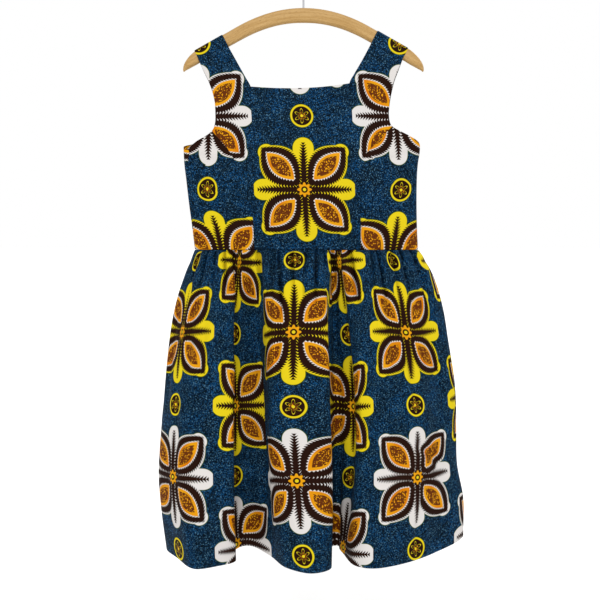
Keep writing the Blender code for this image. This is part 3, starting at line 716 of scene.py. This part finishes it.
def gather_relief(side, us, drops):
    """How far the gathers lift the cloth: broad rounds with a narrow tuck between each two."""
    count = GATHERS[side]
    turns = gather_turns(side, us)
    nearest = np.clip(np.round(turns), 1, count - 1).astype(int)
    fade = eased(np.minimum(turns, count - turns))
    length, depth, lean = np.array(TUCKS[side], float)[nearest - 1, :3].T
    aside = turns - nearest
    own_width = TUCK_WIDTH * (1 + lean * np.sign(aside))
    valley = np.exp(-(np.abs(aside / own_width) ** TUCK_SQUARENESS))
    inward = 1 - np.clip(2 * np.abs(aside), 0.0, 1.0)
    hollow = 1 - np.sqrt(1 - inward * inward)
    trough = mix(valley, hollow, TUCK_HOLLOW)
    drops = drops[:, None]
    opened = mix(TUCK_START, 1.0, eased(drops / TUCK_FOOT))
    tuck = 1 - eased((drops - TUCK_FULL * length) / (TUCK_FADING * length))
    swell = 1 - eased((drops - SWELL_FULL) / SWELL_FADING)
    return fade * opened * (GATHER_SWELL * swell * (1 - trough) - depth * tuck * trough)


def drifting(side, us, drops):
    """The shares across a panel at each of its cells, following the tucks as they slant."""
    count = GATHERS[side]
    lengths, _, _, tops = np.array(TUCKS[side], float).T
    knots = np.arange(count + 1)
    turns = gather_turns(side, us)
    length = np.interp(turns, knots, [TUCK_END, *lengths, TUCK_END])
    top = np.interp(turns, knots, [0.0, *tops, 0.0])
    return us + top / count * np.clip(1 - drops[:, None] / length, 0.0, 1.0)


def make_skirt(name, side):
    gap = SHELL_GAP / 2
    us = gather_columns(side)
    drops = np.concatenate([
        steps_between(gap, UPPER_DROP, UPPER_ROWS, WAIST_ROLL.width, 0),
        steps_between(UPPER_DROP, MIDDLE_DROP, MIDDLE_ROWS)[1:],
        steps_between(MIDDLE_DROP, SKIRT_DROP, LOWER_ROWS, 0, HEM_ROLL.width)[1:],
    ])
    lengths = hem_lengths(side, drifting(side, us, drops))
    lengths = np.clip(lengths, lengths.min() + gap, lengths.max() - gap)
    finely = np.linspace(lengths.min(), lengths.max(), SKIRT_SAMPLES)
    smooth = skirt_smooth(finely, drops / SKIRT_DROP)
    slope = np.gradient(smooth, axis=1)
    points, along = (
        np.stack([[np.interp(row, finely, values) for values in found.T]
                  for row, found in zip(lengths, grid)]).transpose(0, 2, 1)
        for grid in (smooth, slope)
    )
    outwards = unit(np.stack([along[..., 1], -along[..., 0], along[..., 0] * 0], axis=-1))

    across, down = run(points, 1), run(points, 0)
    a, b = np.broadcast_arrays(lengths, drops[:, None])
    lift = gather_relief(side, us, drops)
    lift += SKIRT_GAIN * eased(b / CREASE_FOOT) * crease_relief(name, a, b)
    lift += eased(b / RIPPLE_FOOT) * ripple(SKIRT_SEED + side, a, b, *SKIRT_RIPPLE)
    lift -= rolled(np.minimum(across, across[:, -1:] - across), SEAM_ROLL)
    lift -= rolled(down, WAIST_ROLL) + rolled(down[-1] - down, HEM_ROLL)
    cloth = np.stack([a - CENTRE_LENGTH[side], -down], axis=-1)
    there = np.ones((len(drops) - 1, len(us) - 1), bool)
    fields = {"dart": a * 0, "shift": cloth * 0}
    return make_shell(name, points + outwards * lift[..., None], outwards, there, cloth, fields)


# ---- meshes


def make_mesh(name, points, faces, finish):
    """A smooth mesh of four-sided faces, from points in millimetres."""
    mesh = bpy.data.meshes.new(name)
    mesh.vertices.add(len(points))
    mesh.vertices.foreach_set("co", (points * MM).ravel())
    mesh.loops.add(faces.size)
    mesh.loops.foreach_set("vertex_index", faces.ravel())
    mesh.polygons.add(len(faces))
    mesh.polygons.foreach_set("loop_start", np.arange(0, faces.size, 4))
    mesh.update(calc_edges=True)
    mesh.shade_smooth()
    mesh.materials.append(finish)
    made = bpy.data.objects.new(name, mesh)
    bpy.context.collection.objects.link(made)
    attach(made, "root")
    return made


def put_attribute(mesh, name, values):
    """Writes one number or a vector for each point."""
    values = np.asarray(values, float)
    if values.ndim == 1:
        mesh.attributes.new(name, "FLOAT", "POINT").data.foreach_set("value", values)
        return
    padded = np.zeros((len(values), 3))
    padded[:, : values.shape[1]] = values
    mesh.attributes.new(name, "FLOAT_VECTOR", "POINT").data.foreach_set("vector", padded.ravel())


def make_shell(name, points, normals, there, cloth, fields):
    """A thin closed shell on a grid of points. there says which cells are cloth."""
    rows, columns = points.shape[:2]
    number = np.arange(rows * columns).reshape(rows, columns)
    ring = [number[:-1, :-1], number[:-1, 1:], number[1:, 1:], number[1:, :-1]]
    outer = np.stack(ring, axis=-1)
    sample = outer[0, 0]
    flat = points.reshape(-1, 3)
    facing = np.cross(flat[sample[1]] - flat[sample[0]], flat[sample[3]] - flat[sample[0]])
    if facing @ normals.reshape(-1, 3)[sample[0]] < 0:
        outer = outer[..., ::-1]
    total = rows * columns
    sheet = outer[there]
    faces = [sheet, sheet[:, ::-1] + total]
    padded = np.pad(there, 1)
    beside = {(0, -1): (0, 3), (0, 1): (1, 2), (-1, 0): (0, 1), (1, 0): (2, 3)}
    for (down, right), pair in beside.items():
        bare = ~padded[1 + down : 1 + down + rows - 1, 1 + right : 1 + right + columns - 1] & there
        a, b = (ring[k][bare] for k in pair)
        faces.append(np.stack([a, b, b + total, a + total], axis=-1))
    faces = np.concatenate(faces)
    both = np.concatenate([flat + normals.reshape(-1, 3) * s * CLOTH / 2 for s in (1, -1)])
    used, faces = np.unique(faces, return_inverse=True)
    faces = faces.reshape(-1, 4)
    shell = make_mesh(name + "_cloth", both[used], faces, cloth_finish())
    for key, values in {"cloth": cloth, **fields}.items():
        values = values.reshape(total, -1)
        values = np.concatenate([values, values])[used]
        put_attribute(shell.data, key, values[:, 0] if values.shape[1] == 1 else values)
    tidy_normals(shell)
    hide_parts(name)
    return shell


def tidy_normals(piece):
    """Turns every face of a closed piece outwards."""
    bm = bmesh.new()
    bm.from_mesh(piece.data)
    bmesh.ops.recalc_face_normals(bm, faces=bm.faces)
    bm.to_mesh(piece.data)
    bm.free()


# ---- numbers in nodes


class Field:
    """A number that varies over a surface: an output in a material's node tree. Arithmetic on it
    adds Math nodes."""

    def __init__(self, tree, socket):
        self.tree = tree
        self.socket = socket

    def math(self, operation, *others):
        node = self.tree.nodes.new("ShaderNodeMath")
        node.operation = operation
        for slot, value in zip(node.inputs, (self, *others)):
            feed(self.tree, value, slot)
        return Field(self.tree, node.outputs[0])

    __add__ = partialmethod(math, "ADD")
    __sub__ = partialmethod(math, "SUBTRACT")
    __mul__ = partialmethod(math, "MULTIPLY")
    __truediv__ = partialmethod(math, "DIVIDE")
    __abs__ = partialmethod(math, "ABSOLUTE")
    least = partialmethod(math, "MINIMUM")
    most = partialmethod(math, "MAXIMUM")
    times_plus = partialmethod(math, "MULTIPLY_ADD")

    def repeat(self, length):
        """How far past the last multiple of a length, in shares of it."""
        return (self / length).math("FRACT")

    def nearest(self, pitch):
        return (self / pitch).math("ROUND")

    def below(self, level, soft):
        """1 where the number is below a level and 0 above it, with an edge of a soft width."""
        node = self.tree.nodes.new("ShaderNodeMapRange")
        node.interpolation_type = "SMOOTHSTEP"
        feed(self.tree, self, node.inputs["Value"])
        start, end = level - soft / 2, level + soft / 2
        settle(node, {"From Min": start, "From Max": end, "To Min": 1.0, "To Max": 0.0})
        return Field(self.tree, node.outputs["Result"])

    def above(self, level, soft):
        return self.below(level, soft).times_plus(-1.0, 1.0)


def feed(tree, value, slot):
    """Links a field or socket to an input, or sets the input to a plain number."""
    if isinstance(value, Field):
        tree.links.new(value.socket, slot)
    elif isinstance(value, bpy.types.NodeSocket):
        tree.links.new(value, slot)
    else:
        slot.default_value = value


def settle(node, values):
    """Sets inputs that are the same all over."""
    for name, value in values.items():
        node.inputs[name].default_value = value


def linear(*screen):
    """The shader's linear numbers for a colour given as on a screen, 0 to 255."""
    shares = [value / 255 for value in screen]
    return (*[s / 12.92 if s <= 0.04045 else ((s + 0.055) / 1.055) ** 2.4 for s in shares], 1.0)


def blend(tree, share, below, above):
    """One colour going over to another as a share goes from 0 to 1."""
    node = tree.nodes.new("ShaderNodeMix")
    node.data_type = "RGBA"
    feed(tree, share, node.inputs["Factor"])
    feed(tree, below, node.inputs["A"])
    feed(tree, above, node.inputs["B"])
    return node.outputs["Result"]


def noise(tree, place, size, detail=1.0, seed=0.0):
    """Soft noise, 0 to 1, with lumps of about a size."""
    node = tree.nodes.new("ShaderNodeTexNoise")
    node.noise_dimensions = "4D"
    feed(tree, place, node.inputs["Vector"])
    settle(node, {"W": seed, "Scale": 1 / size, "Detail": detail})
    return Field(tree, node.outputs["Fac"])


def attribute(tree, name):
    node = tree.nodes.new("ShaderNodeAttribute")
    node.attribute_name = name
    return node


# ---- wax print

# The print's colours as on a screen, 0 to 255
BLUE = linear(10, 38, 61)
BLUE_BRIGHT = linear(8, 54, 92)
FLECK = linear(63, 97, 118)
NAVY = linear(3, 13, 22)
EDGE_GREEN = linear(37, 60, 11)
YELLOW = linear(189, 169, 22)
WHITE = linear(186, 182, 179)
ORANGE = linear(191, 131, 14)
AMBER = linear(175, 98, 4)
BROWN = linear(81, 37, 11)
DARK = linear(29, 13, 7)

# Its sizes, in millimetres of cloth
COLUMN_PITCH = 185.0  # of the motifs, which stand half a row up in every other column
ROW_PITCH = 270.0
LEAF_MIDDLE = 60.0  # out along a diagonal
LEAF_HALF_LENGTH = 43.0
LEAF_HALF_WIDTH = 26.0
HEART_HALF_LENGTH = 26.0
HEART_HALF_WIDTH = 12.6
LINE_IN, LINE_OUT = -5.4, 4.7  # the dark line round a leaf
FRINGE_IN, FRINGE_OUT = 3.8, 4.6  # length of the line's spikes
FRINGE_PITCH = 4.4
SPIKE_SLANT, NEEDLE_SLANT = 0.6, 0.75
SPRIG_REACH = 86.0
SPRIG_HALF_WIDTH = 10.5
SPRIG_PITCH = 5.4
SPRIG_TAPER = 0.45  # the share of its width that it loses on the way
NEEDLE_LENGTH = 6.5  # aside from its stem
SPRIG_LOBE = (76.0, 11.0)  # the round end of its halo: how far out, and its radius
LEAF_LOBE = (96.0, 7.0)  # and at a leaf's tip
HALO, HALO_EDGE = 8.1, 1.3  # its width, and that of the green line round it
WORM = 4.4  # size of the crackle in a leaf's heart
VEIN, VEIN_SPLIT = 2.7, 2.0  # sizes of the blue ground's veins and of the breaks in them
FLECK_SIZE = 0.8 * VEIN
CLOUD = 34.0  # size of the clouds of brighter dye
BODICE_SHIFT = 111.0  # the height above the waist of the motif on the middle of the bodice
INK_EDGE, FINE_EDGE, BROAD_EDGE = 0.8, 0.6, 1.2  # over how much cloth an ink ends
SPRIG_FADE, HALO_FADE = 1.5, 0.9  # the same at a sprig's tip and round a halo
LEAF_REACH = 0.82  # of a leaf's halo, below 1 to widen it
FLOWER_PETALS = (8.0, 0.16)  # how many, and how far in they are cut
ROUNDEL_PETALS = (6.0, 0.3)
WHITE_START = 0.7  # where the half rows with white halos start in each repeat
WHITE_REPEAT, WHITE_SHARE = 6.0, 0.3  # half rows in a repeat, and the share of them that is white

# Levels of the noises, and the width of their edges
CLOUDY, AMBER_CLOUDY = (0.5, 0.35), (0.56, 0.3)
FLECKED, VEINED, CRACKLED = (0.612, 0.08), (0.108, 0.06), (0.115, 0.06)
VEIN_BREAKS = 0.05  # how far the second noise moves the veins' level

# The rings of a small flower and of a roundel from the outside in: whether a ring has petals, its
# radius and its colour, which is the crackle's where none is given
FLOWER_RINGS = ((True, 17.0, DARK), (True, 13.5, ORANGE), (False, 6.0, DARK), (False, 3.0, YELLOW))
ROUNDEL_RINGS = (
    (False, 22.0, EDGE_GREEN), (False, 21.0, YELLOW), (False, 17.6, DARK), (True, 14.0, YELLOW),
    (True, 12.6, DARK), (True, 8.5, None), (False, 2.6, YELLOW),
)


def print_places(tree, place):
    """Local places on the repeat: across and up from the nearest motif's middle, and the row."""
    split = tree.nodes.new("ShaderNodeSeparateXYZ")
    feed(tree, place, split.inputs[0])
    x, y = Field(tree, split.outputs["X"]), Field(tree, split.outputs["Y"])
    column = x.nearest(COLUMN_PITCH)
    odd = abs(column).repeat(2.0) * 2.0
    raised = y - odd * (ROW_PITCH / 2)
    row = raised.nearest(ROW_PITCH)
    return x - column * COLUMN_PITCH, raised - row * ROW_PITCH, row * 2.0 + odd


def spiked(along, pitch):
    """0 at the middle of each spike of a fringe and 1 halfway to the next."""
    return abs(along.repeat(pitch) - 0.5) * 2.0


def hypot(x, y):
    return (x * x + y * y).math("SQRT")


def leaf_edge(along, aside, half_length, half_width):
    """The distance aside from a pointed leaf's edge, below 0 inside it."""
    out = (along - LEAF_MIDDLE) / half_length
    return aside - (out * out).times_plus(-half_width, half_width)


def flower_edge(r, x, y, petals, depth):
    """The distance r from a flower's middle, stretched between its petals."""
    angle = x.math("ARCTAN2", y)
    return r / (angle * petals).math("COSINE").times_plus(depth, 1 - depth)


def sprig_share(along, aside):
    """1 on a sprig's stem and needles, and 0 beside them."""
    out = along / SPRIG_REACH
    width = (out * out * out).times_plus(-SPRIG_HALF_WIDTH * SPRIG_TAPER, SPRIG_HALF_WIDTH)
    needles = spiked(along - aside * NEEDLE_SLANT, SPRIG_PITCH) * NEEDLE_LENGTH
    return (aside + needles - width).below(0.0, INK_EDGE) * along.below(SPRIG_REACH, SPRIG_FADE)


def paint(tree, colour, *inks):
    """A colour with inks laid over it in turn, each inside a level of a distance."""
    for edge, level, ink in inks:
        colour = blend(tree, edge.below(level, INK_EDGE), colour, ink)
    return colour


def round_motif(tree, colour, x, y, petals, rings, crackle):
    """A colour with a round motif over it, painted ring by ring."""
    r = hypot(x, y)
    flower = flower_edge(r, x, y, *petals)
    return paint(tree, colour, *[
        (flower if has_petals else r, radius, ink or crackle) for has_petals, radius, ink in rings
    ])


def blue_ground(tree, place, clouds):
    """Two blues in clouds, with light flecks and dark veins."""
    blue = blend(tree, clouds.above(*CLOUDY), BLUE, BLUE_BRIGHT)
    flecks = noise(tree, place, FLECK_SIZE, 0.0, seed=6.0)
    blue = blend(tree, flecks.above(*FLECKED), blue, FLECK)
    veins = abs(noise(tree, place, VEIN, 1.0, seed=12.0) - 0.5)
    breaks = noise(tree, place, VEIN_SPLIT, 0.0, seed=4.0) * VEIN_BREAKS
    return blend(tree, (veins + breaks).below(*VEINED), blue, NAVY)


def print_colour(tree, place):
    """The wax print's colour at a place on the cloth, given in millimetres."""
    x, y, row = print_places(tree, place)
    ax, ay = abs(x), abs(y)
    clouds = noise(tree, place, CLOUD, 1.0, seed=9.0)
    worms = abs(noise(tree, place, WORM, 1.0) - 0.5)
    crackle = blend(tree, worms.below(*CRACKLED), ORANGE, BROWN)

    # leaves on the diagonals, and sprigs on the axes
    along, aside = (ax + ay) * math.sqrt(0.5), abs(ax - ay) * math.sqrt(0.5)
    leaf = leaf_edge(along, aside, LEAF_HALF_LENGTH, LEAF_HALF_WIDTH)
    heart = leaf_edge(along, aside, HEART_HALF_LENGTH, HEART_HALF_WIDTH)
    spikes = spiked(along + leaf * SPIKE_SLANT, FRINGE_PITCH)
    leaf_tip = hypot(along - LEAF_LOBE[0], aside) - LEAF_LOBE[1]
    out, off = ax.most(ay), ax.least(ay)
    sprig_end = hypot((out - SPRIG_LOBE[0]).most(0.0), off) - SPRIG_LOBE[1]

    # the halo round both, then the motif from the outside in
    reach = (leaf * LEAF_REACH).least(sprig_end).least(leaf_tip)
    white = (row - WHITE_START).repeat(WHITE_REPEAT).below(WHITE_SHARE, 0.02)
    halo = blend(tree, white, YELLOW, WHITE)
    colour = blue_ground(tree, place, clouds)
    colour = blend(tree, reach.below(HALO + HALO_EDGE, HALO_FADE), colour, EDGE_GREEN)
    colour = paint(
        tree, colour,
        (reach, HALO, halo),
        (leaf + spikes * FRINGE_OUT, LINE_OUT + FRINGE_OUT, DARK),
    )
    sprig = sprig_share(out, off) * leaf.above(LINE_OUT, FINE_EDGE)
    colour = blend(tree, sprig, colour, DARK)
    orange = blend(tree, clouds.above(*AMBER_CLOUDY), ORANGE, AMBER)
    inside = blend(tree, leaf.above(LINE_IN - FRINGE_IN, INK_EDGE), orange, WHITE)
    fringe = (leaf - spikes * FRINGE_IN).above(LINE_IN - FRINGE_IN, INK_EDGE)
    inside = blend(tree, fringe, inside, DARK)
    inside = blend(tree, heart.below(0.0, BROAD_EDGE), inside, crackle)
    colour = blend(tree, leaf.below(LINE_IN, FINE_EDGE), colour, inside)

    # a small flower in the middle of the motif, and roundels halfway between those of a column
    colour = round_motif(tree, colour, x, y, FLOWER_PETALS, FLOWER_RINGS, crackle)
    up = ay - ROW_PITCH / 2
    return round_motif(tree, colour, x, up, ROUNDEL_PETALS, ROUNDEL_RINGS, crackle)


# ---- finishes

THREAD = 0.7  # width of the weave's unevenness
THREAD_RUN = 0.12  # its width as a share of its length
DART_STITCHES, DART_DENT = 0.9, 2.0  # half width and depth of the dent along a dart
WOOD_LIGHT = linear(171, 139, 90)
WOOD_MIDDLE = linear(153, 119, 68)
WOOD_DARK = linear(120, 86, 44)
STREAK, PORE = 2.6, 0.7  # widths in the wood's grain
STREAK_RUN, PORE_RUN = 0.06, 0.12  # and as shares of their lengths
STREAKED, PORED = (0.5, 0.5), (0.4, 0.2)  # levels of their noises, and the width of their edges
PORE_SHADE = 0.55  # the share of the dark wood that the pores have
STEEL_DARK = (0.44, 0.44, 0.46, 1.0)
STEEL_LIGHT = (0.58, 0.58, 0.60, 1.0)
DRAWING_MARK = 0.8  # size of the marks that drawing leaves on the wire


def new_material(name):
    made = bpy.data.materials.new(name)
    made.use_nodes = True
    return made, made.node_tree, made.node_tree.nodes["Principled BSDF"]


def bump(tree, shader, height, distance, strength):
    node = tree.nodes.new("ShaderNodeBump")
    settle(node, {"Strength": strength, "Distance": distance * MM})
    feed(tree, height, node.inputs["Height"])
    tree.links.new(node.outputs["Normal"], shader.inputs["Normal"])


def roughen(tree, shader, share, smoothest, roughest):
    """Roughness that goes from one value to the other with a share from 0 to 1."""
    roughness = share.times_plus(roughest - smoothest, smoothest)
    feed(tree, roughness, shader.inputs["Roughness"])


def vector_math(tree, operation, a, b):
    node = tree.nodes.new("ShaderNodeVectorMath")
    node.operation = operation
    feed(tree, a, node.inputs[0])
    feed(tree, b, node.inputs["Scale"] if operation == "SCALE" else node.inputs[1])
    return node.outputs[0]


def stretched_noise(tree, place, shares, size, detail, seed):
    """Noise that is drawn out along an axis whose share is below 1."""
    return noise(tree, vector_math(tree, "MULTIPLY", place, shares), size, detail, seed)


def cloth_finish():
    """Wax printed cotton: the print on a plain weave with a slight sheen."""
    found = bpy.data.materials.get("wax_print_cloth")
    if found:
        return found
    made, tree, shader = new_material("wax_print_cloth")
    beyond = Field(tree, attribute(tree, "dart").outputs["Fac"])
    shift = attribute(tree, "shift").outputs["Vector"]
    place = attribute(tree, "cloth").outputs["Vector"]
    moved = vector_math(tree, "SCALE", shift, beyond.above(0.0, 0.05))
    place = vector_math(tree, "ADD", place, moved)
    place = vector_math(tree, "SUBTRACT", place, (0.0, BODICE_SHIFT, 0.0))
    feed(tree, print_colour(tree, place), shader.inputs["Base Color"])
    warp = stretched_noise(tree, place, (1.0, THREAD_RUN, 1.0), THREAD, 1.0, 2.0)
    weft = stretched_noise(tree, place, (THREAD_RUN, 1.0, 1.0), THREAD, 1.0, 3.0)
    seam = (abs(beyond) / DART_STITCHES).least(1.0)
    height = (warp + weft) * 0.5 + seam * DART_DENT
    bump(tree, shader, height, distance=0.25, strength=0.5)
    roughen(tree, shader, warp + weft, 0.50, 0.62)
    settle(shader, {"Specular IOR Level": 0.02, "Sheen Weight": 0.005, "Sheen Roughness": 0.4})
    return made


def wood_finish():
    """Light wood with its grain along the arms, under a thin matt varnish."""
    made, tree, shader = new_material("hanger_wood")
    place = attribute(tree, "grain").outputs["Vector"]
    streaks = stretched_noise(tree, place, (STREAK_RUN, 1.0, 1.0), STREAK, 3.0, 1.0)
    pores = stretched_noise(tree, place, (PORE_RUN, 1.0, 1.0), PORE, 2.0, 5.0)
    colour = blend(tree, streaks.above(*STREAKED), WOOD_MIDDLE, WOOD_LIGHT)
    colour = blend(tree, pores.below(*PORED) * PORE_SHADE, colour, WOOD_DARK)
    feed(tree, colour, shader.inputs["Base Color"])
    roughen(tree, shader, pores, 0.40, 0.60)
    settle(shader, {"Specular IOR Level": 0.15})
    bump(tree, shader, pores, distance=0.08, strength=0.15)
    return made


def steel_finish():
    """Bright plated wire with faint drawing marks."""
    made, tree, shader = new_material("hanger_steel")
    texture = tree.nodes.new("ShaderNodeTexCoord")
    place = vector_math(tree, "SCALE", texture.outputs["Object"], 1 / MM)
    marks = noise(tree, place, DRAWING_MARK, 2.0)
    shade = blend(tree, marks, STEEL_DARK, STEEL_LIGHT)
    feed(tree, shade, shader.inputs["Base Color"])
    settle(shader, {"Metallic": 1.0})
    roughen(tree, shader, marks, 0.16, 0.30)
    bump(tree, shader, marks, distance=0.04, strength=0.2)
    return made


# ---- hanger

# The top and the lower edge of an arm beyond its straight part, which ends in a drooping fin
Tip = namedtuple("Tip", "top_x top_z low_x low_z")
TIPS = table(
    Tip,
    (209.4, -169.6, 197.6, -186.8),
    (215.2, -176.2, 204.6, -190.5),
    (219.8, -183.1, 210.8, -193.8),
    (222.6, -189.8, 216.0, -196.6),
    (223.4, -195.4, 220.0, -198.8),
)
TIP_END = (222.4, -199.8)
ARM_HEIGHT_MIDDLE, ARM_HEIGHT_END = 27.0, 23.0
ARM_END_X = 195.0
ARM_STEP = 4.0
TIP_STEPS = 5  # between each two rows
TIP_LEFT = 0.04  # the share of its height that the last section keeps
ARM_SIDES = 40

# The hook's wire from its stem to the start of its circle, then the circle's turn in degrees
HOOK_BEND = ((0.0, -62.0), (0.0, -56.0), (0.9, -50.5), (4.2, -45.3), (9.2, -41.0))
HOOK_TURN = (-52.0, 212.0)
HOOK_STEPS = 26
WIRE_STEP = 1.2
WIRE_SIDES = 24
WIRE_END_ROUND = 4.0  # of its open end
WIRE_END_LEFT = 0.02  # the share of its section that the wire ends with


def sweep(name, rings, finish):
    """A closed mesh round rings of points, with a strip of four-sided faces at each end."""
    rings = np.asarray(rings)
    count, sides = rings.shape[:2]
    number = np.arange(count * sides).reshape(count, sides)
    after = np.roll(number, -1, axis=1)
    faces = np.stack([number[:-1], after[:-1], after[1:], number[1:]], axis=-1).reshape(-1, 4)
    half = sides // 2
    for end in (number[0], number[-1]):
        pairs = [(end[k], end[k + 1], end[sides - 2 - k], end[sides - 1 - k])
                 for k in range(half - 1)]
        faces = np.concatenate([faces, pairs])
    made = make_mesh(name, rings.reshape(-1, 3), faces, finish)
    tidy_normals(made)
    return made


def arm_ring(tip, side):
    """A rounded upright section of an arm between its top and its lower edge."""
    top, low = np.array([tip.top_x, tip.top_z]), np.array([tip.low_x, tip.low_z])
    height = np.hypot(*(top - low))
    upwards = (top - low) / height
    radius = min(ARM_RADIUS, height / 2)
    turn = 2 * math.pi * (np.arange(ARM_SIDES) + 0.5) / ARM_SIDES
    straight = np.where(np.sin(turn) < 0, height - 2 * radius, 0.0)
    up = radius * np.sin(turn) - radius - straight
    x, z = (top + upwards * up[:, None]).T
    return np.stack([side * x, radius * np.cos(turn), z], axis=-1)


def arm_rows():
    """The sections of an arm, from the middle of the hanger to its tip."""
    rows = []
    for x in np.arange(0, ARM_END_X + ARM_STEP / 2, ARM_STEP):
        z, angle = (float(value) for value in arm_axis(x))
        height = mix(ARM_HEIGHT_MIDDLE, ARM_HEIGHT_END, x / ARM_END_X)
        out, up = math.sin(angle), math.cos(angle)
        top_x, top_z = x + out * ARM_RADIUS, z + up * ARM_RADIUS
        rows.append(Tip(top_x, top_z, top_x - out * height, top_z - up * height))
    knots = [rows[-1]] + TIPS
    for at in np.linspace(0, len(TIPS), TIP_STEPS * len(TIPS) + 1)[1:]:
        rows.append(Tip(*spline(range(len(knots)), knots, at)))
    edges = np.reshape(rows[-1], (2, 2))
    drift = TIP_END - edges.mean(axis=0)
    for turn in np.linspace(0, math.pi / 2, TIP_STEPS + 1)[1:]:
        share = 1 - max(math.cos(turn), TIP_LEFT)
        closing = mix(edges, TIP_END, share) + drift * (math.sin(turn) - share)
        rows.append(Tip(*closing.ravel()))
    return rows


def make_arms():
    rows = arm_rows()
    rings = [arm_ring(row, -1) for row in reversed(rows[1:])]
    rings += [arm_ring(row, 1) for row in rows]
    arms = sweep("hanger_wood", rings, wood_finish())

    # the grain's places: along the arms, through them, and up from their axis
    points = np.reshape(rings, (-1, 3))
    walked = run(np.array(rows)[:, :2], 0)
    along = np.repeat(np.concatenate([-walked[:0:-1], walked]), ARM_SIDES)
    axis_z, _ = arm_axis(np.abs(points[:, 0]))
    grain = np.stack([along, points[:, 1], points[:, 2] - axis_z], axis=-1)
    put_attribute(arms.data, "grain", grain)
    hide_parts("hanger_arms")
    return arms


def make_hook():
    """The CAD hook's wire, rounder: a stem, a bend aside and most of a circle."""
    wire = HOOK_WIRE / 2
    centre_z = wire - HOOK_RADIUS
    stem_foot = CROWN_Z + ARM_RADIUS - STEM_DEPTH
    path = [(0.0, stem_foot), (0.0, (stem_foot + HOOK_BEND[0][1]) / 2), *HOOK_BEND]
    for k in range(HOOK_STEPS + 1):
        turn = math.radians(mix(*HOOK_TURN, k / HOOK_STEPS))
        path.append((HOOK_RADIUS * math.cos(turn), centre_z + HOOK_RADIUS * math.sin(turn)))
    walked = run(np.array(path), 0)
    at = np.arange(0, walked[-1], WIRE_STEP)
    places = spline(walked, path, at)
    ahead = unit(np.gradient(places, axis=0))
    turn = 2 * math.pi * np.arange(WIRE_SIDES) / WIRE_SIDES
    from_end = np.minimum((walked[-1] - at) / WIRE_END_ROUND, 1.0)
    radius = wire * np.sqrt(np.maximum(WIRE_END_LEFT, 1 - (1 - from_end) ** 2))
    rings = []
    for (x, z), (dx, dz), r in zip(places, ahead, radius):
        aside = r * np.cos(turn)
        rings.append(np.stack([x - dz * aside, r * np.sin(turn), z + dx * aside], axis=-1))
    hook = sweep("hanger_steel", rings, steel_finish())
    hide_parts("hanger_hook")
    return hook


# ---- camera and light

CAMERA_PLACE = (-0.0064, -1.8, -0.4912)  # in metres
CAMERA_TURN = (90 - 4.25, 0, 0)
LENS, SENSOR = 57.3, 36.0
FLOOR_Z, FLOOR_HALF = -1.35, 40.0  # in metres
FLOOR_COLOUR = (0.92, 0.92, 0.92, 1)
SURROUND_COLOUR = (1.0, 1.0, 1.0, 1)
Lamp = namedtuple("Lamp", "name turn strength")
LAMPS = table(
    Lamp,
    ("key", (54, 0, -3), 1.8),
    ("back fill", (58, 0, 140), 1.2),
)
LAMP_WIDTH = 14.0  # degrees that a lamp seems wide, for soft shadows


def look_from(name, data, place, turn_degrees):
    made = bpy.data.objects.new(name, data)
    made.location = place
    made.rotation_euler = [math.radians(turn) for turn in turn_degrees]
    bpy.context.collection.objects.link(made)
    return made


def make_camera():
    data = bpy.data.cameras.new("camera")
    data.lens = LENS
    data.sensor_width = SENSOR
    bpy.context.scene.camera = look_from("camera", data, CAMERA_PLACE, CAMERA_TURN)


def make_lamp(lamp):
    data = bpy.data.lights.new(lamp.name, "SUN")
    data.angle = math.radians(LAMP_WIDTH)
    data.energy = lamp.strength
    look_from(lamp.name, data, (0, 0, 2), lamp.turn)


def make_stage():
    """A pale floor below the hem and an even pale surround, under one large soft lamp in front
    and a weaker one behind."""
    corners = [(-1, -1), (1, -1), (1, 1), (-1, 1)]
    mesh = bpy.data.meshes.new("floor")
    mesh.from_pydata([(x * FLOOR_HALF, y * FLOOR_HALF, FLOOR_Z) for x, y in corners], [],
                     [(0, 1, 2, 3)])
    pale, _, shader = new_material("floor")
    settle(shader, {"Base Color": FLOOR_COLOUR, "Roughness": 1.0, "Specular IOR Level": 0.0})
    mesh.materials.append(pale)
    floor = bpy.data.objects.new("floor", mesh)
    bpy.context.collection.objects.link(floor)

    world = bpy.data.worlds.new("surround")
    world.use_nodes = True
    settle(world.node_tree.nodes["Background"], {"Color": SURROUND_COLOUR, "Strength": 1.0})
    bpy.context.scene.world = world
    for lamp in LAMPS:
        make_lamp(lamp)
    bpy.context.scene.view_settings.view_transform = "Standard"


# ---- main


def main():
    make_camera()
    make_stage()
    cloth = {
        "bodice_front": make_bodice("bodice_front", FRONT),
        "bodice_back": make_bodice("bodice_back", BACK),
        "skirt_front": make_skirt("skirt_front", FRONT),
        "skirt_back": make_skirt("skirt_back", BACK),
    }
    arms = make_arms()
    make_hook()


main()
